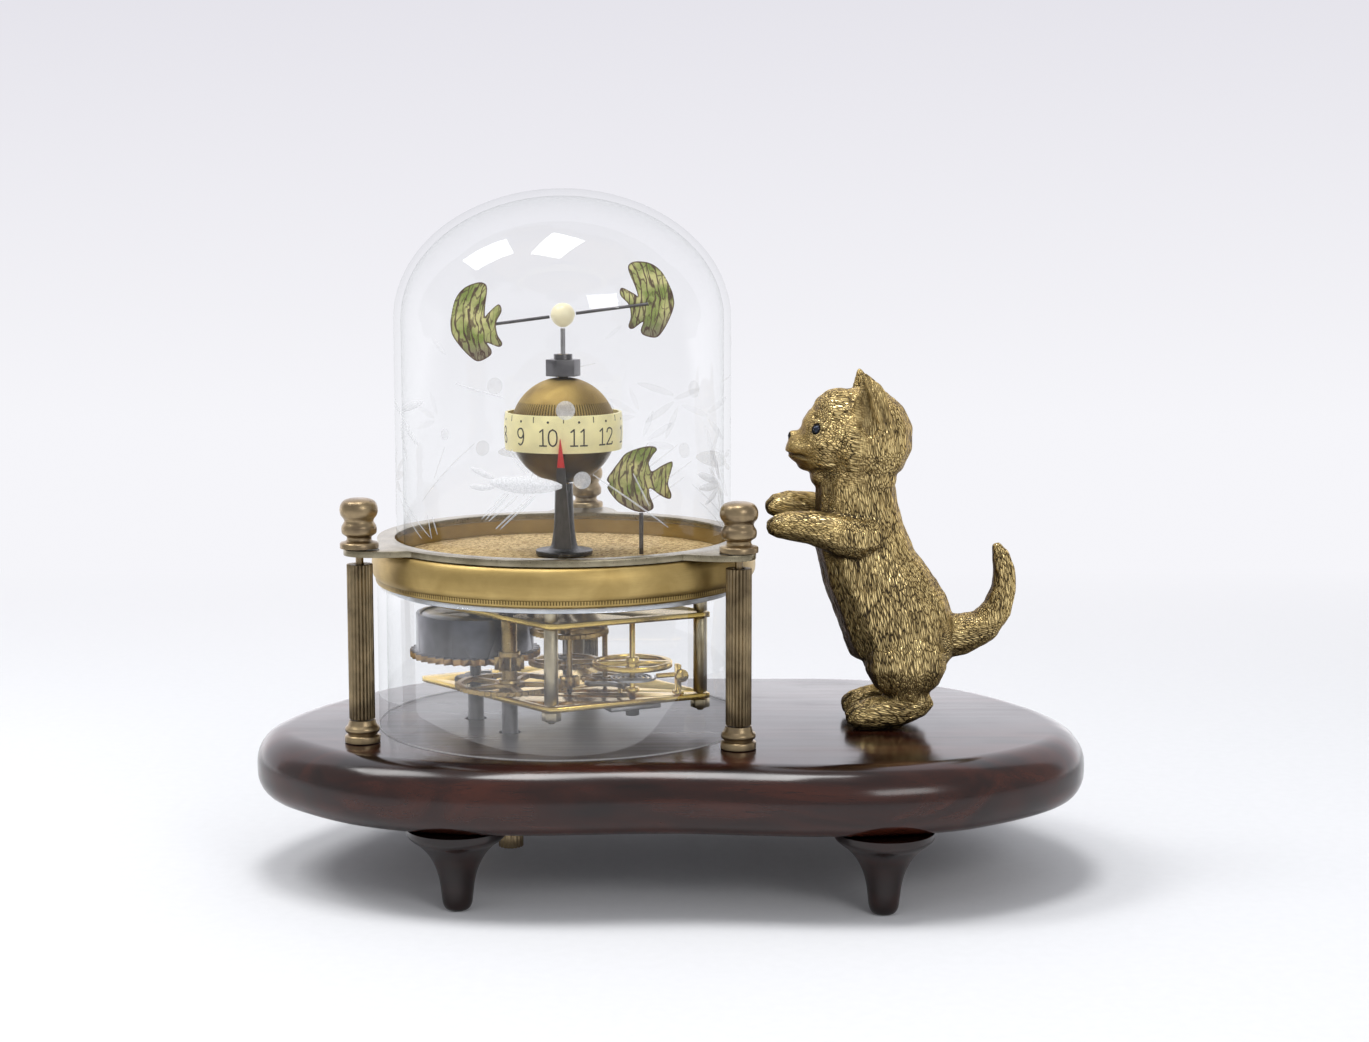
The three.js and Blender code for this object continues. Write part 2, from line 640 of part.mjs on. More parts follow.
// Glass: dome with an elliptical crown, and the lower cylinder round the movement.
function domeProfile() {
  const STEPS = 5;
  const bottom = FLOOR_TOP + SEAT;
  const spring = bottom + DOME_HEIGHT - DOME_CROWN;
  const crown = (thinner) => Array.from({ length: STEPS + 1 }, (_, i) => {
    const angle = (Math.PI / 2) * (i / STEPS);
    return [(DOME_R - thinner) * Math.cos(angle), spring + (DOME_CROWN - thinner) * Math.sin(angle)];
  });
  const outer = [[DOME_R, bottom], ...crown(0)];
  const inner = [[DOME_R - DOME_WALL, bottom], ...crown(DOME_WALL)].reverse();
  return [...outer, ...inner, outer[0]];
}
place(clock, "glass_dome", GLASS, turned(domeProfile(), 30));
place(clock, "lower_glass", GLASS, ring(
  LOWER_GLASS_R - LOWER_GLASS_WALL, LOWER_GLASS_R, GLASS_BOTTOM, GLASS_BOTTOM + LOWER_GLASS_HEIGHT, 32,
));

// Post, ball and hour band
const postBottom = FLOOR_TOP + SEAT;
const postTop = BALL_Z - BALL_R - SEAT;
place(clock, "post", BLACK, turned([
  [POST_BORE, postBottom], [POST_FOOT_R, postBottom], [POST_FOOT_R, postBottom + POST_FOOT_THICK],
  [POST_R + 1.4, postBottom + POST_FOOT_THICK + 0.6], [POST_R + 0.5, postBottom + 7], [POST_R, postTop],
  [POST_BORE, postTop], [POST_BORE, postBottom],
], 16));

// Half ball shell with an axial hole; way is 1 for the upper half and -1 for the lower.
function halfBall(way) {
  const STEPS = 4;
  const edge = WEB_THICK / 2 + WEB_GAP;
  const arc = (radius) => {
    const from = Math.asin(edge / radius);
    const to = Math.acos((POST_BORE + SEAT) / radius);
    return Array.from({ length: STEPS + 1 }, (_, i) => {
      const angle = THREE.MathUtils.lerp(from, to, i / STEPS);
      return [radius * Math.cos(angle), BALL_Z + way * radius * Math.sin(angle)];
    });
  };
  const outer = arc(BALL_R);
  return turned([...outer, ...arc(BALL_R - BALL_WALL).reverse(), outer[0]], 16);
}
place(clock, "ball_lower_half", DARK_BRONZE, halfBall(-1));
place(clock, "ball_upper_half", BRASS, halfBall(1));
const bandBottom = BALL_Z - BAND_HEIGHT / 2;
const bandTop = BALL_Z + BAND_HEIGHT / 2;
const BAND_CROWN = 0.35;
place(clock, "hour_band", CREAM, turned([
  [HOUR_TUBE_R + SEAT, BALL_Z - WEB_THICK / 2], [BAND_R - BAND_WALL, BALL_Z - WEB_THICK / 2],
  [BAND_R - BAND_WALL - BAND_CROWN, bandBottom], [BAND_R - BAND_CROWN, bandBottom], [BAND_R, BALL_Z],
  [BAND_R - BAND_CROWN, bandTop], [BAND_R - BAND_WALL - BAND_CROWN, bandTop],
  [BAND_R - BAND_WALL, BALL_Z + WEB_THICK / 2], [HOUR_TUBE_R + SEAT, BALL_Z + WEB_THICK / 2],
  [HOUR_TUBE_R + SEAT, BALL_Z - WEB_THICK / 2],
], 24));
const nutBottom = BALL_Z + BALL_R + SEAT;
const nutTop = nutBottom + NUT_HEIGHT;
const hexagon = (radius, turn = 0) =>
  Array.from({ length: 6 }, (_, i) => polar(radius, turn + (Math.PI * i) / 3));
const nutBore = HOUR_TUBE_R + SEAT;
place(clock, "top_nut", DARK_STEEL, join(
  plate(hexagon(NUT_R, 0.2), nutBottom, nutTop, [circle(nutBore, 12)]),
  ring(nutBore, NUT_STEP_R, nutTop - 1, nutTop + NUT_STEP_HEIGHT, 12),
));

// Pointer: a tapered blade on the post's foot, leaning out to stand in front of the band.
const pointerFootY = -(POST_FOOT_R - 1.2);
const pointerFootZ = postBottom + POST_FOOT_THICK + SEAT;
const pointerTipZ = bandBottom + POINTER_OVERLAP;
const pointerTipY = -(BAND_R + POINTER_GAP + POINTER_THICK);
const pointerLength = Math.hypot(pointerTipZ - pointerFootZ, pointerTipY - pointerFootY);
const pointerLean = Math.atan2(pointerFootY - pointerTipY, pointerTipZ - pointerFootZ);
const pointerOutline = [
  [-POINTER_BASE / 2, 0], [POINTER_BASE / 2, 0], [POINTER_BASE * 0.24, pointerLength * 0.72],
  [0.12, pointerLength], [-0.12, pointerLength], [-POINTER_BASE * 0.24, pointerLength * 0.72],
].map(([x, y]) => new THREE.Vector2(x, y));
const pointerBlade = plate(pointerOutline, -POINTER_THICK / 2, POINTER_THICK / 2);
const pointer = place(clock, "pointer", RED, pointerBlade);
pointer.rotation.x = Math.PI / 2 + pointerLean;
pointer.position.set(0, pointerFootY, pointerFootZ + POINTER_THICK);

// Circling fish: a flat crescent body with its nose towards +X and a forked tail, as shares of its
// height.
const CIRCLING_FISH = [
  [-0.11, 0.5], [0.06, 0.45], [0.19, 0.32], [0.275, 0.1], [0.295, -0.02], [0.285, -0.13], [0.21, -0.28],
  [0.1, -0.43], [0, -0.5], [-0.15, -0.45], [-0.18, -0.38], [-0.14, -0.28], [-0.28, -0.35], [-0.33, -0.31],
  [-0.285, -0.19], [-0.29, -0.04], [-0.38, 0.1], [-0.35, 0.19], [-0.21, 0.1], [-0.16, 0.06], [-0.18, 0.19],
  [-0.235, 0.4], [-0.21, 0.48],
];

// Standing fish: a pointed body with the dorsal fin swept back, nose towards -X, as shares of its
// height.
const STANDING_FISH = [
  [-0.4, 0], [-0.36, -0.07], [-0.39, -0.14], [-0.26, -0.32], [-0.12, -0.42], [0.04, -0.49], [0.19, -0.5],
  [0.31, -0.43], [0.25, -0.24], [0.26, -0.14], [0.42, -0.25], [0.55, -0.3], [0.58, -0.23], [0.53, -0.07],
  [0.58, 0.14], [0.6, 0.22], [0.58, 0.27], [0.44, 0.21], [0.29, 0.12], [0.25, 0.19], [0.24, 0.26],
  [0.3, 0.37], [0.36, 0.45], [0.31, 0.5], [0.15, 0.49], [-0.1, 0.4], [-0.22, 0.26], [-0.31, 0.14],
];
function fishBody(shares, height) {
  const outline = shares.map(([x, y]) => new THREE.Vector2(x * height, y * height));
  return plate(outline, -FISH_THICK / 2, FISH_THICK / 2).rotateX(Math.PI / 2);
}
const rotor = new THREE.Group();
rotor.position.set(0, 0, BEAD_Z);
clock.add(rotor);
const spindleTop = BEAD_Z - BEAD_R - SEAT;
place(rotor, "bead", IVORY, tidy(new THREE.SphereGeometry(BEAD_R, 12, 8).rotateX(Math.PI / 2)));
const armOutline = circle(ARM_R, 6);
const fishAside = ARM_R + SEAT + FISH_THICK / 2;
for (const [name, way] of Object.entries({ left: -1, right: 1 })) {
  const side = new THREE.Group();
  side.rotation.set(0, -ARM_TILT, way < 0 ? Math.PI : 0, "YZX");
  rotor.add(side);
  const wire = plate(armOutline, BEAD_R + SEAT, ARM_HALF).rotateY(Math.PI / 2);
  place(side, `fish_arm_${name}`, DARK_STEEL, wire);
  const body = fishBody(CIRCLING_FISH, FISH_HEIGHT);
  body.translate(ARM_HALF + FISH_PAST_ARM, fishAside, FISH_LIFT);
  place(side, `fish_${name}`, FISH_GREEN, body);
}
const floorFish = new THREE.Vector2(FLOOR_FISH_X, FLOOR_FISH_Y);
const fishStem = rod(FISH_ROD_R, FLOOR_TOP + SEAT, FLOOR_TOP + FLOOR_FISH_RISE, 8);
place(clock, "fish_rod", DARK_STEEL, fishStem, floorFish);
const fishBelly = FLOOR_TOP + FLOOR_FISH_RISE + SEAT + FLOOR_FISH_HEIGHT / 2;
const standing = fishBody(STANDING_FISH, FLOOR_FISH_HEIGHT);
standing.translate(-0.12 * FLOOR_FISH_HEIGHT, 0, fishBelly);
place(clock, "fish_floor", FISH_GREEN, standing, floorFish);

// Movement plates with pivot holes, and the pillars that space them and hang them from the carrier
function roundedOutline(corners, radius) {
  return corners.flatMap((corner, i) => {
    const before = corners[(i + corners.length - 1) % corners.length];
    const after = corners[(i + 1) % corners.length];
    const ends = [before, after].map((other) =>
      corner.clone().add(other.clone().sub(corner).setLength(radius)));
    return [0, 0.5, 1].map((t) => {
      const near = ends[0].clone().lerp(corner, t);
      const far = corner.clone().lerp(ends[1], t);
      return near.lerp(far, t);
    });
  });
}
const movementOutline = roundedOutline(plateCorners, PLATE_ROUND);
const hole = (at, radius) => circle(radius, 8, at.x, at.y);
const pivotHole = PIVOT_R + RUN;
const pillarHoles = platePillars.map((at) => hole(at, STUD_R + SEAT));
const leverStud = rod(LEVER_STUD_R, LOWER_BOTTOM + 0.2, LOWER_TOP + ESCAPE_RISE + WHEEL_THICK + SEAT, 8);
place(clock, "lower_plate", BRIGHT_BRASS, join(
  plate(movementOutline, LOWER_BOTTOM, LOWER_TOP, [
    hole(barrel, BARREL_ARBOR_R + RUN), hole(centre, SETTING_ARBOR_R + RUN), hole(third, pivotHole),
    hole(axis, pivotHole), hole(escape, pivotHole), hole(balance, STAFF_R + RUN), ...pillarHoles,
  ]),
  leverStud.translate(lever.x, lever.y, 0),
));
const motionLow = UPPER_TOP + 0.6;
const motionHigh = motionLow + WHEEL_THICK + 0.7;
const minuteStud = rod(STUD_R, UPPER_BOTTOM + 0.2, motionHigh + WHEEL_THICK + SEAT, 8);
place(clock, "upper_plate", BRIGHT_BRASS, join(
  plate(movementOutline, UPPER_BOTTOM, UPPER_TOP, [
    hole(barrel, BARREL_ARBOR_R / 2 + RUN), hole(centre, SETTING_ARBOR_R + RUN), hole(third, pivotHole),
    hole(axis, SPINDLE_R + RUN), hole(escape, pivotHole), hole(balance, pivotHole), ...pillarHoles,
  ]),
  minuteStud.translate(minute.x, minute.y, 0),
));
const nutUnder = LOWER_BOTTOM - SEAT;
platePillars.forEach((at, i) => {
  const shaft = turned([
    [0, nutUnder - PLATE_NUT_HEIGHT - 0.8], [STUD_R, nutUnder - PLATE_NUT_HEIGHT - 0.8],
    [STUD_R, LOWER_TOP + SEAT], [PLATE_PILLAR_R, LOWER_TOP + SEAT], [PLATE_PILLAR_R, UPPER_BOTTOM - SEAT],
    [STUD_R, UPPER_BOTTOM - SEAT], [STUD_R, CARRIER_BOTTOM - SEAT], [0, CARRIER_BOTTOM - SEAT],
  ], 10);
  const nut = plate(hexagon(PLATE_NUT_R), nutUnder - PLATE_NUT_HEIGHT, nutUnder);
  const spacer = rod(PLATE_PILLAR_R, UPPER_TOP + SEAT, CARRIER_BOTTOM - SEAT, 10);
  place(clock, `plate_pillar_${["front", "right", "back"][i]}`, BRASS, join(shaft, nut, spacer), at);
});

// Arbor with thin pivots in both plates
const pivoted = (radius) => turned([
  [0, LOWER_BOTTOM + SEAT], [PIVOT_R, LOWER_BOTTOM + SEAT], [PIVOT_R, LOWER_TOP + SEAT],
  [radius, LOWER_TOP + SEAT], [radius, UPPER_BOTTOM - SEAT], [PIVOT_R, UPPER_BOTTOM - SEAT],
  [PIVOT_R, UPPER_TOP - SEAT], [0, UPPER_TOP - SEAT],
], 8);

const wheel = (teeth, module, phase, low, arms) => {
  const pitchR = (teeth * module) / 2;
  const openings = crossings(arms, pitchR * 0.3, pitchR - 2.6 * module, 1.6);
  return plate(wheelOutline(teeth, module, phase), low, low + WHEEL_THICK, openings);
};
const pinionFor = (wheelLow, thick, leaves, module, phase) => {
  const outline = pinionOutline(leaves, module, phase);
  return plate(outline, wheelLow - PINION_OVERHANG, wheelLow + thick + PINION_OVERHANG);
};

// Barrel: great wheel with an open drum, its lid, mainspring, arbor, ratchet and click
const greatLow = LOWER_TOP + GREAT_RISE;
const drumLow = greatLow + GREAT_THICK;
const drumTop = drumLow + DRUM_HEIGHT;
const arborBore = BARREL_ARBOR_R + RUN;
const drumInner = DRUM_R - DRUM_WALL;
const drumFloor = drumLow + 0.8;
const greatToCentre = bearing(barrel, centre);
const greatOutline = wheelOutline(GREAT_TEETH, GREAT_MODULE, greatToCentre);
place(clock, "barrel", DARK_STEEL, join(
  plate(greatOutline, greatLow, drumLow, [circle(drumInner - 4, 12)]),
  turned([
    [arborBore, greatLow], [drumInner - 2, greatLow], [drumInner - 2, drumLow - 0.4], [DRUM_R, drumLow - 0.4],
    [DRUM_R, drumTop], [drumInner, drumTop], [drumInner, drumFloor], [arborBore, drumFloor],
    [arborBore, greatLow],
  ], 22),
), barrel);
const lidLow = drumTop - LID_THICK - SEAT;
const lid = ring(arborBore, drumInner - SEAT, lidLow, lidLow + LID_THICK, 20);
place(clock, "barrel_lid", STEEL, lid, barrel);
place(clock, "mainspring", STEEL, spiral(
  "mainspring", BARREL_HUB_R + SEAT + SPRING_THICK, drumInner - SEAT - SPRING_THICK / 2, SPRING_TURNS,
  SPRING_THICK, drumFloor + SEAT, lidLow - SEAT, 0,
), barrel);
const shoulder = LOWER_BOTTOM - SEAT;
place(clock, "barrel_arbor", STEEL, turned([
  [0, KNOB_TOP + SEAT], [ARBOR_R, KNOB_TOP + SEAT], [ARBOR_R, shoulder], [BARREL_ARBOR_R, shoulder],
  [BARREL_ARBOR_R, drumFloor + SEAT], [BARREL_HUB_R, drumFloor + SEAT], [BARREL_HUB_R, lidLow - SEAT],
  [BARREL_ARBOR_R, lidLow - SEAT], [BARREL_ARBOR_R, UPPER_BOTTOM - SEAT],
  [BARREL_ARBOR_R / 2, UPPER_BOTTOM - SEAT], [BARREL_ARBOR_R / 2, UPPER_TOP - SEAT], [0, UPPER_TOP - SEAT],
], 12), barrel);
const ratchetLow = LOWER_TOP + RATCHET_RISE;
const ratchetOutline = Array.from({ length: RATCHET_TEETH }, (_, i) => {
  const from = (2 * Math.PI * i) / RATCHET_TEETH;
  const to = (2 * Math.PI * (i + 1)) / RATCHET_TEETH;
  return [polar(RATCHET_R - 1, from), polar(RATCHET_R, to)];
}).flat();
place(clock, "ratchet_wheel", DARK_STEEL, plate(
  ratchetOutline, ratchetLow, ratchetLow + WHEEL_THICK, [circle(BARREL_ARBOR_R + SEAT, 12)],
), barrel);
const clickTipIn = CLICK_REACH - RATCHET_R + 1.6;
const clickOutline = [
  [1.5, -0.6], [1.3, 1.1], [-0.4, 1.5], [-2.4, -0.4], [-5, -clickTipIn], [-3.6, -clickTipIn + 1.2],
  [-1, -1.6],
].map(([x, y]) => new THREE.Vector2(x, y));
const pawl = plate(clickOutline, ratchetLow, ratchetLow + WHEEL_THICK);
const clickMesh = place(clock, "click", STEEL, pawl, click);
clickMesh.rotation.z = CLICK_BEARING - Math.PI / 2;

// Knobs under the base, ribbed for the fingers
function knob(radius) {
  const ribbed = Array.from({ length: 2 * KNOB_RIBS }, (_, i) =>
    polar(i % 2 ? radius - 0.35 : radius, (Math.PI * i) / KNOB_RIBS));
  const low = KNOB_TOP - KNOB_HEIGHT;
  return join(plate(ribbed, low, KNOB_TOP - 1.4), rod(radius * 0.7, low + 0.5, KNOB_TOP, 12));
}
place(clock, "winding_knob", BRASS, knob(WINDING_KNOB_R), barrel);
place(clock, "setting_knob", BRASS, knob(SETTING_KNOB_R), centre);

// Centre wheel and pinion on a pipe round the setting arbor, which carries the cannon pinion
const centreLow = LOWER_TOP + CENTRE_RISE;
const pipeBore = SETTING_ARBOR_R + SEAT;
const pipeR = pipeBore + 0.8;
const centreToThird = bearing(centre, third);
const pinionTop = greatLow + GREAT_THICK + PINION_OVERHANG;
place(clock, "centre_wheel", BRASS, join(
  wheel(CENTRE_TEETH, CENTRE_MODULE, centreToThird, centreLow, 5),
  pinionFor(greatLow, GREAT_THICK, LEAVES, GREAT_MODULE, gapTowards(greatToCentre + Math.PI, LEAVES)),
  turned([
    [0, LOWER_TOP + SEAT], [pipeR + 0.8, LOWER_TOP + SEAT], [pipeR + 0.8, centreLow + WHEEL_THICK + 0.8],
    [pipeR, centreLow + WHEEL_THICK + 0.8], [pipeR, pinionTop], [pipeR + 0.9, pinionTop],
    [pipeR + 0.9, pinionTop + 1.6], [pipeR, pinionTop + 1.6], [pipeR, UPPER_BOTTOM - SEAT],
    [0, UPPER_BOTTOM - SEAT],
  ], 12),
), centre);
const centreMesh = clock.getObjectByName("centre_wheel");
centreMesh.geometry = cut(centreMesh.geometry, rod(pipeBore, LOWER_BOTTOM, UPPER_TOP, 12));
const centreToMinute = bearing(centre, minute);
const cannonTop = motionLow + WHEEL_THICK + SEAT;
const cannonPhase = gapTowards(centreToMinute, CANNON_LEAVES);
place(clock, "setting_arbor", STEEL, join(
  turned([
    [0, KNOB_TOP + SEAT], [ARBOR_R, KNOB_TOP + SEAT], [ARBOR_R, shoulder], [SETTING_ARBOR_R, shoulder],
    [SETTING_ARBOR_R, cannonTop], [0, cannonTop],
  ], 12),
  plate(pinionOutline(CANNON_LEAVES, MINUTE_MODULE, cannonPhase), UPPER_TOP + SEAT, cannonTop),
), centre);

// Third wheel
const thirdLow = LOWER_TOP + THIRD_RISE;
const thirdToAxis = bearing(third, axis);
place(clock, "third_wheel", BRASS, join(
  wheel(THIRD_TEETH, THIRD_MODULE, thirdToAxis, thirdLow, 4),
  pinionFor(centreLow, WHEEL_THICK, LEAVES, CENTRE_MODULE, gapTowards(centreToThird + Math.PI, LEAVES)),
  pivoted(STAFF_R),
), third);

// Fourth wheel on the spindle that runs up through the hour tube to the fish
const fourthLow = LOWER_TOP + FOURTH_RISE;
const fourthHubR = 1.9;
place(clock, "fish_spindle", STEEL, join(
  turned([
    [0, LOWER_BOTTOM + SEAT], [PIVOT_R, LOWER_BOTTOM + SEAT], [PIVOT_R, LOWER_TOP + SEAT],
    [SPINDLE_R, LOWER_TOP + SEAT], [SPINDLE_R, spindleTop], [0, spindleTop],
  ], 10),
  pinionFor(thirdLow, WHEEL_THICK, LEAVES, THIRD_MODULE, gapTowards(thirdToAxis + Math.PI, LEAVES)),
  rod(fourthHubR, fourthLow + WHEEL_THICK + SEAT, fourthLow + WHEEL_THICK + 1.5, 10),
));
const fourthPitchR = (FOURTH_TEETH * FOURTH_MODULE) / 2;
const fourthOpenings = crossings(4, fourthPitchR * 0.3, fourthPitchR - 2.6 * FOURTH_MODULE, 1.6);
place(clock, "fourth_wheel", BRASS, plate(
  wheelOutline(FOURTH_TEETH, FOURTH_MODULE, ESCAPE_BEARING), fourthLow, fourthLow + WHEEL_THICK,
  [circle(SPINDLE_R + SEAT, 10), ...fourthOpenings],
));

// Escape wheel with pointed teeth raked the way it turns
const escapeLow = LOWER_TOP + ESCAPE_RISE;
const escapeOutline = Array.from({ length: ESCAPE_TEETH }, (_, i) => {
  const step = (2 * Math.PI) / ESCAPE_TEETH;
  const from = i * step;
  return [
    polar(ESCAPE_R * 0.73, from), polar(ESCAPE_R, from + 0.5 * step),
    polar(ESCAPE_R, from + 0.62 * step), polar(ESCAPE_R * 0.76, from + 0.6 * step),
  ];
}).flat();
const escapeOpenings = crossings(4, ESCAPE_R * 0.26, ESCAPE_R * 0.58, WHEEL_THICK);
place(clock, "escape_wheel", BRASS, join(
  plate(escapeOutline, escapeLow, escapeLow + WHEEL_THICK, escapeOpenings),
  pinionFor(fourthLow, WHEEL_THICK, LEAVES, FOURTH_MODULE, gapTowards(ESCAPE_BEARING + Math.PI, LEAVES)),
  pivoted(STAFF_R),
), escape);

// Pallet lever on its stud, fork towards the balance
const leverHalf = [
  [3.2, 0.55], [4.9, 0.55], [4.9, 1.25], [2.6, 0.9], [1.5, 1.3], [-0.4, 2.2], [-3.6, 7.6], [-5.8, 8.2],
  [-6, 6.95], [-4.4, 6.3], [-1.7, 1.2],
];
const leverOther = leverHalf.map(([x, y]) => [x, -y]).reverse();
const leverOutline = [...leverHalf, ...leverOther].map(([x, y]) => new THREE.Vector2(x, y));
const leverMesh = place(clock, "pallet_lever", STEEL, plate(
  leverOutline, escapeLow, escapeLow + WHEEL_THICK, [circle(LEVER_STUD_R + SEAT, 8)],
), lever);
leverMesh.rotation.z = leverLine;

// Balance: rim with one cross arm, staff and roller; hairspring, its bracket, and the bridge below
const balanceLow = LOWER_TOP + BALANCE_RISE;
function balanceOpenings() {
  const inner = BALANCE_R - BALANCE_RIM;
  const armHalf = 1.1;
  const from = Math.asin(armHalf / inner);
  return [0, Math.PI].map((turn) => Array.from({ length: 13 }, (_, i) =>
    polar(inner, turn + THREE.MathUtils.lerp(from, Math.PI - from, i / 12))));
}
place(clock, "balance_wheel", BRIGHT_BRASS, join(
  plate(circle(BALANCE_R, 32), balanceLow, balanceLow + WHEEL_THICK + 0.2, balanceOpenings()),
  turned([
    [0, LOWER_BOTTOM + SEAT], [STAFF_R, LOWER_BOTTOM + SEAT], [STAFF_R, escapeLow], [ROLLER_R, escapeLow],
    [ROLLER_R, escapeLow + WHEEL_THICK], [STAFF_R, escapeLow + WHEEL_THICK], [STAFF_R, balanceLow - 1.2],
    [ROLLER_R, balanceLow - 1.2], [ROLLER_R, balanceLow + 2.4], [STAFF_R, balanceLow + 2.4],
    [STAFF_R, UPPER_BOTTOM - SEAT], [PIVOT_R, UPPER_BOTTOM - SEAT], [PIVOT_R, UPPER_TOP - SEAT],
    [0, UPPER_TOP - SEAT],
  ], 8),
), balance);
const bracket = new THREE.Vector2(BRACKET_X, BRACKET_Y);
const toBracket = bearing(balance, bracket);
const hairspringLow = LOWER_TOP + HAIRSPRING_RISE;
place(clock, "hairspring", STEEL, spiral(
  "hairspring", HAIRSPRING_COLLET_R, HAIRSPRING_R, HAIRSPRING_TURNS, HAIRSPRING_THICK,
  hairspringLow, hairspringLow + HAIRSPRING_WIDTH, toBracket,
), balance);
const bracketReach = bracket.distanceTo(balance);
const armLength = bracketReach - HAIRSPRING_R - HAIRSPRING_THICK / 2 - SEAT;
const armTop = hairspringLow + HAIRSPRING_WIDTH + 0.3;
const bracketArm = block(armLength, BRACKET_WIDTH / 2, hairspringLow - 0.3, armTop);
const screwHead = rod(1.8, -0.9, 0.9, 12).rotateX(Math.PI / 2);
const bracketMesh = place(clock, "regulator_bracket", BRIGHT_BRASS, join(
  block(BRACKET_WIDTH / 2, BRACKET_WIDTH, LOWER_TOP + SEAT, hairspringLow + 3.2),
  bracketArm.translate(-armLength / 2, 0, 0),
  block(BRACKET_WIDTH, BRACKET_WIDTH * 1.3, LOWER_TOP + SEAT, LOWER_TOP + 1.2),
  screwHead.translate(0.4, -BRACKET_WIDTH / 2 - 0.6, hairspringLow + 0.3),
), bracket);
bracketMesh.rotation.z = toBracket;
const bridgeTop = LOWER_BOTTOM - SEAT;
const bridgeMesh = place(clock, "balance_bridge", STEEL, join(
  block(BRIDGE_LENGTH, BRIDGE_WIDTH, bridgeTop - BRIDGE_THICK, bridgeTop),
  rod(1.9, bridgeTop - BRIDGE_THICK - 1.8, bridgeTop - 0.2, 12),
), balance);
bridgeMesh.rotation.z = bearing(plateCorners[0], plateCorners[1]);

// Motion work: minute wheel on its stud, hour wheel with the tube that turns the band
const minuteToAxis = bearing(minute, axis);
const minuteHole = STUD_R + RUN;
const minuteOutline = wheelOutline(MINUTE_TEETH, MINUTE_MODULE, centreToMinute + Math.PI);
const minuteLeaves = pinionOutline(MINUTE_LEAVES, HOUR_MODULE, gapTowards(minuteToAxis, MINUTE_LEAVES));
place(clock, "minute_wheel", BRASS, cut(join(
  plate(minuteOutline, motionLow, motionLow + WHEEL_THICK),
  plate(minuteLeaves, motionLow + 0.2, motionHigh + WHEEL_THICK),
), rod(minuteHole - 0.15, UPPER_TOP, CARRIER_TOP, 8)), minute);
const hourTubeTop = nutTop + NUT_STEP_HEIGHT;
place(clock, "hour_wheel", BRASS, cut(join(
  wheel(HOUR_TEETH, HOUR_MODULE, minuteToAxis + Math.PI, motionHigh, 4),
  rod(HOUR_TUBE_R, UPPER_TOP + SEAT, hourTubeTop, 10),
  rod(HOUR_TUBE_R + 1, motionHigh, motionHigh + WHEEL_THICK + 0.8, 10),
), rod(TUBE_BORE, UPPER_BOTTOM, hourTubeTop + 1, 10)));

// Kitten standing on its hind legs with both forepaws raised, modelled facing -X about its own middle
const cat = new THREE.Group();
cat.position.set(CAT_X, CAT_Y, WOOD_TOP + SEAT);
part.add(cat);
const station = ([x, y, z, tall, wide]) => ({ at: [x, y, z], tall, wide });
const limb = (sides, ...rows) => loft(rows.map(station), sides);
const egg = (x, y, z, rx, ry, rz) =>
  new THREE.SphereGeometry(1, 10, 7).rotateX(Math.PI / 2).scale(rx, ry, rz).translate(x, y, z);

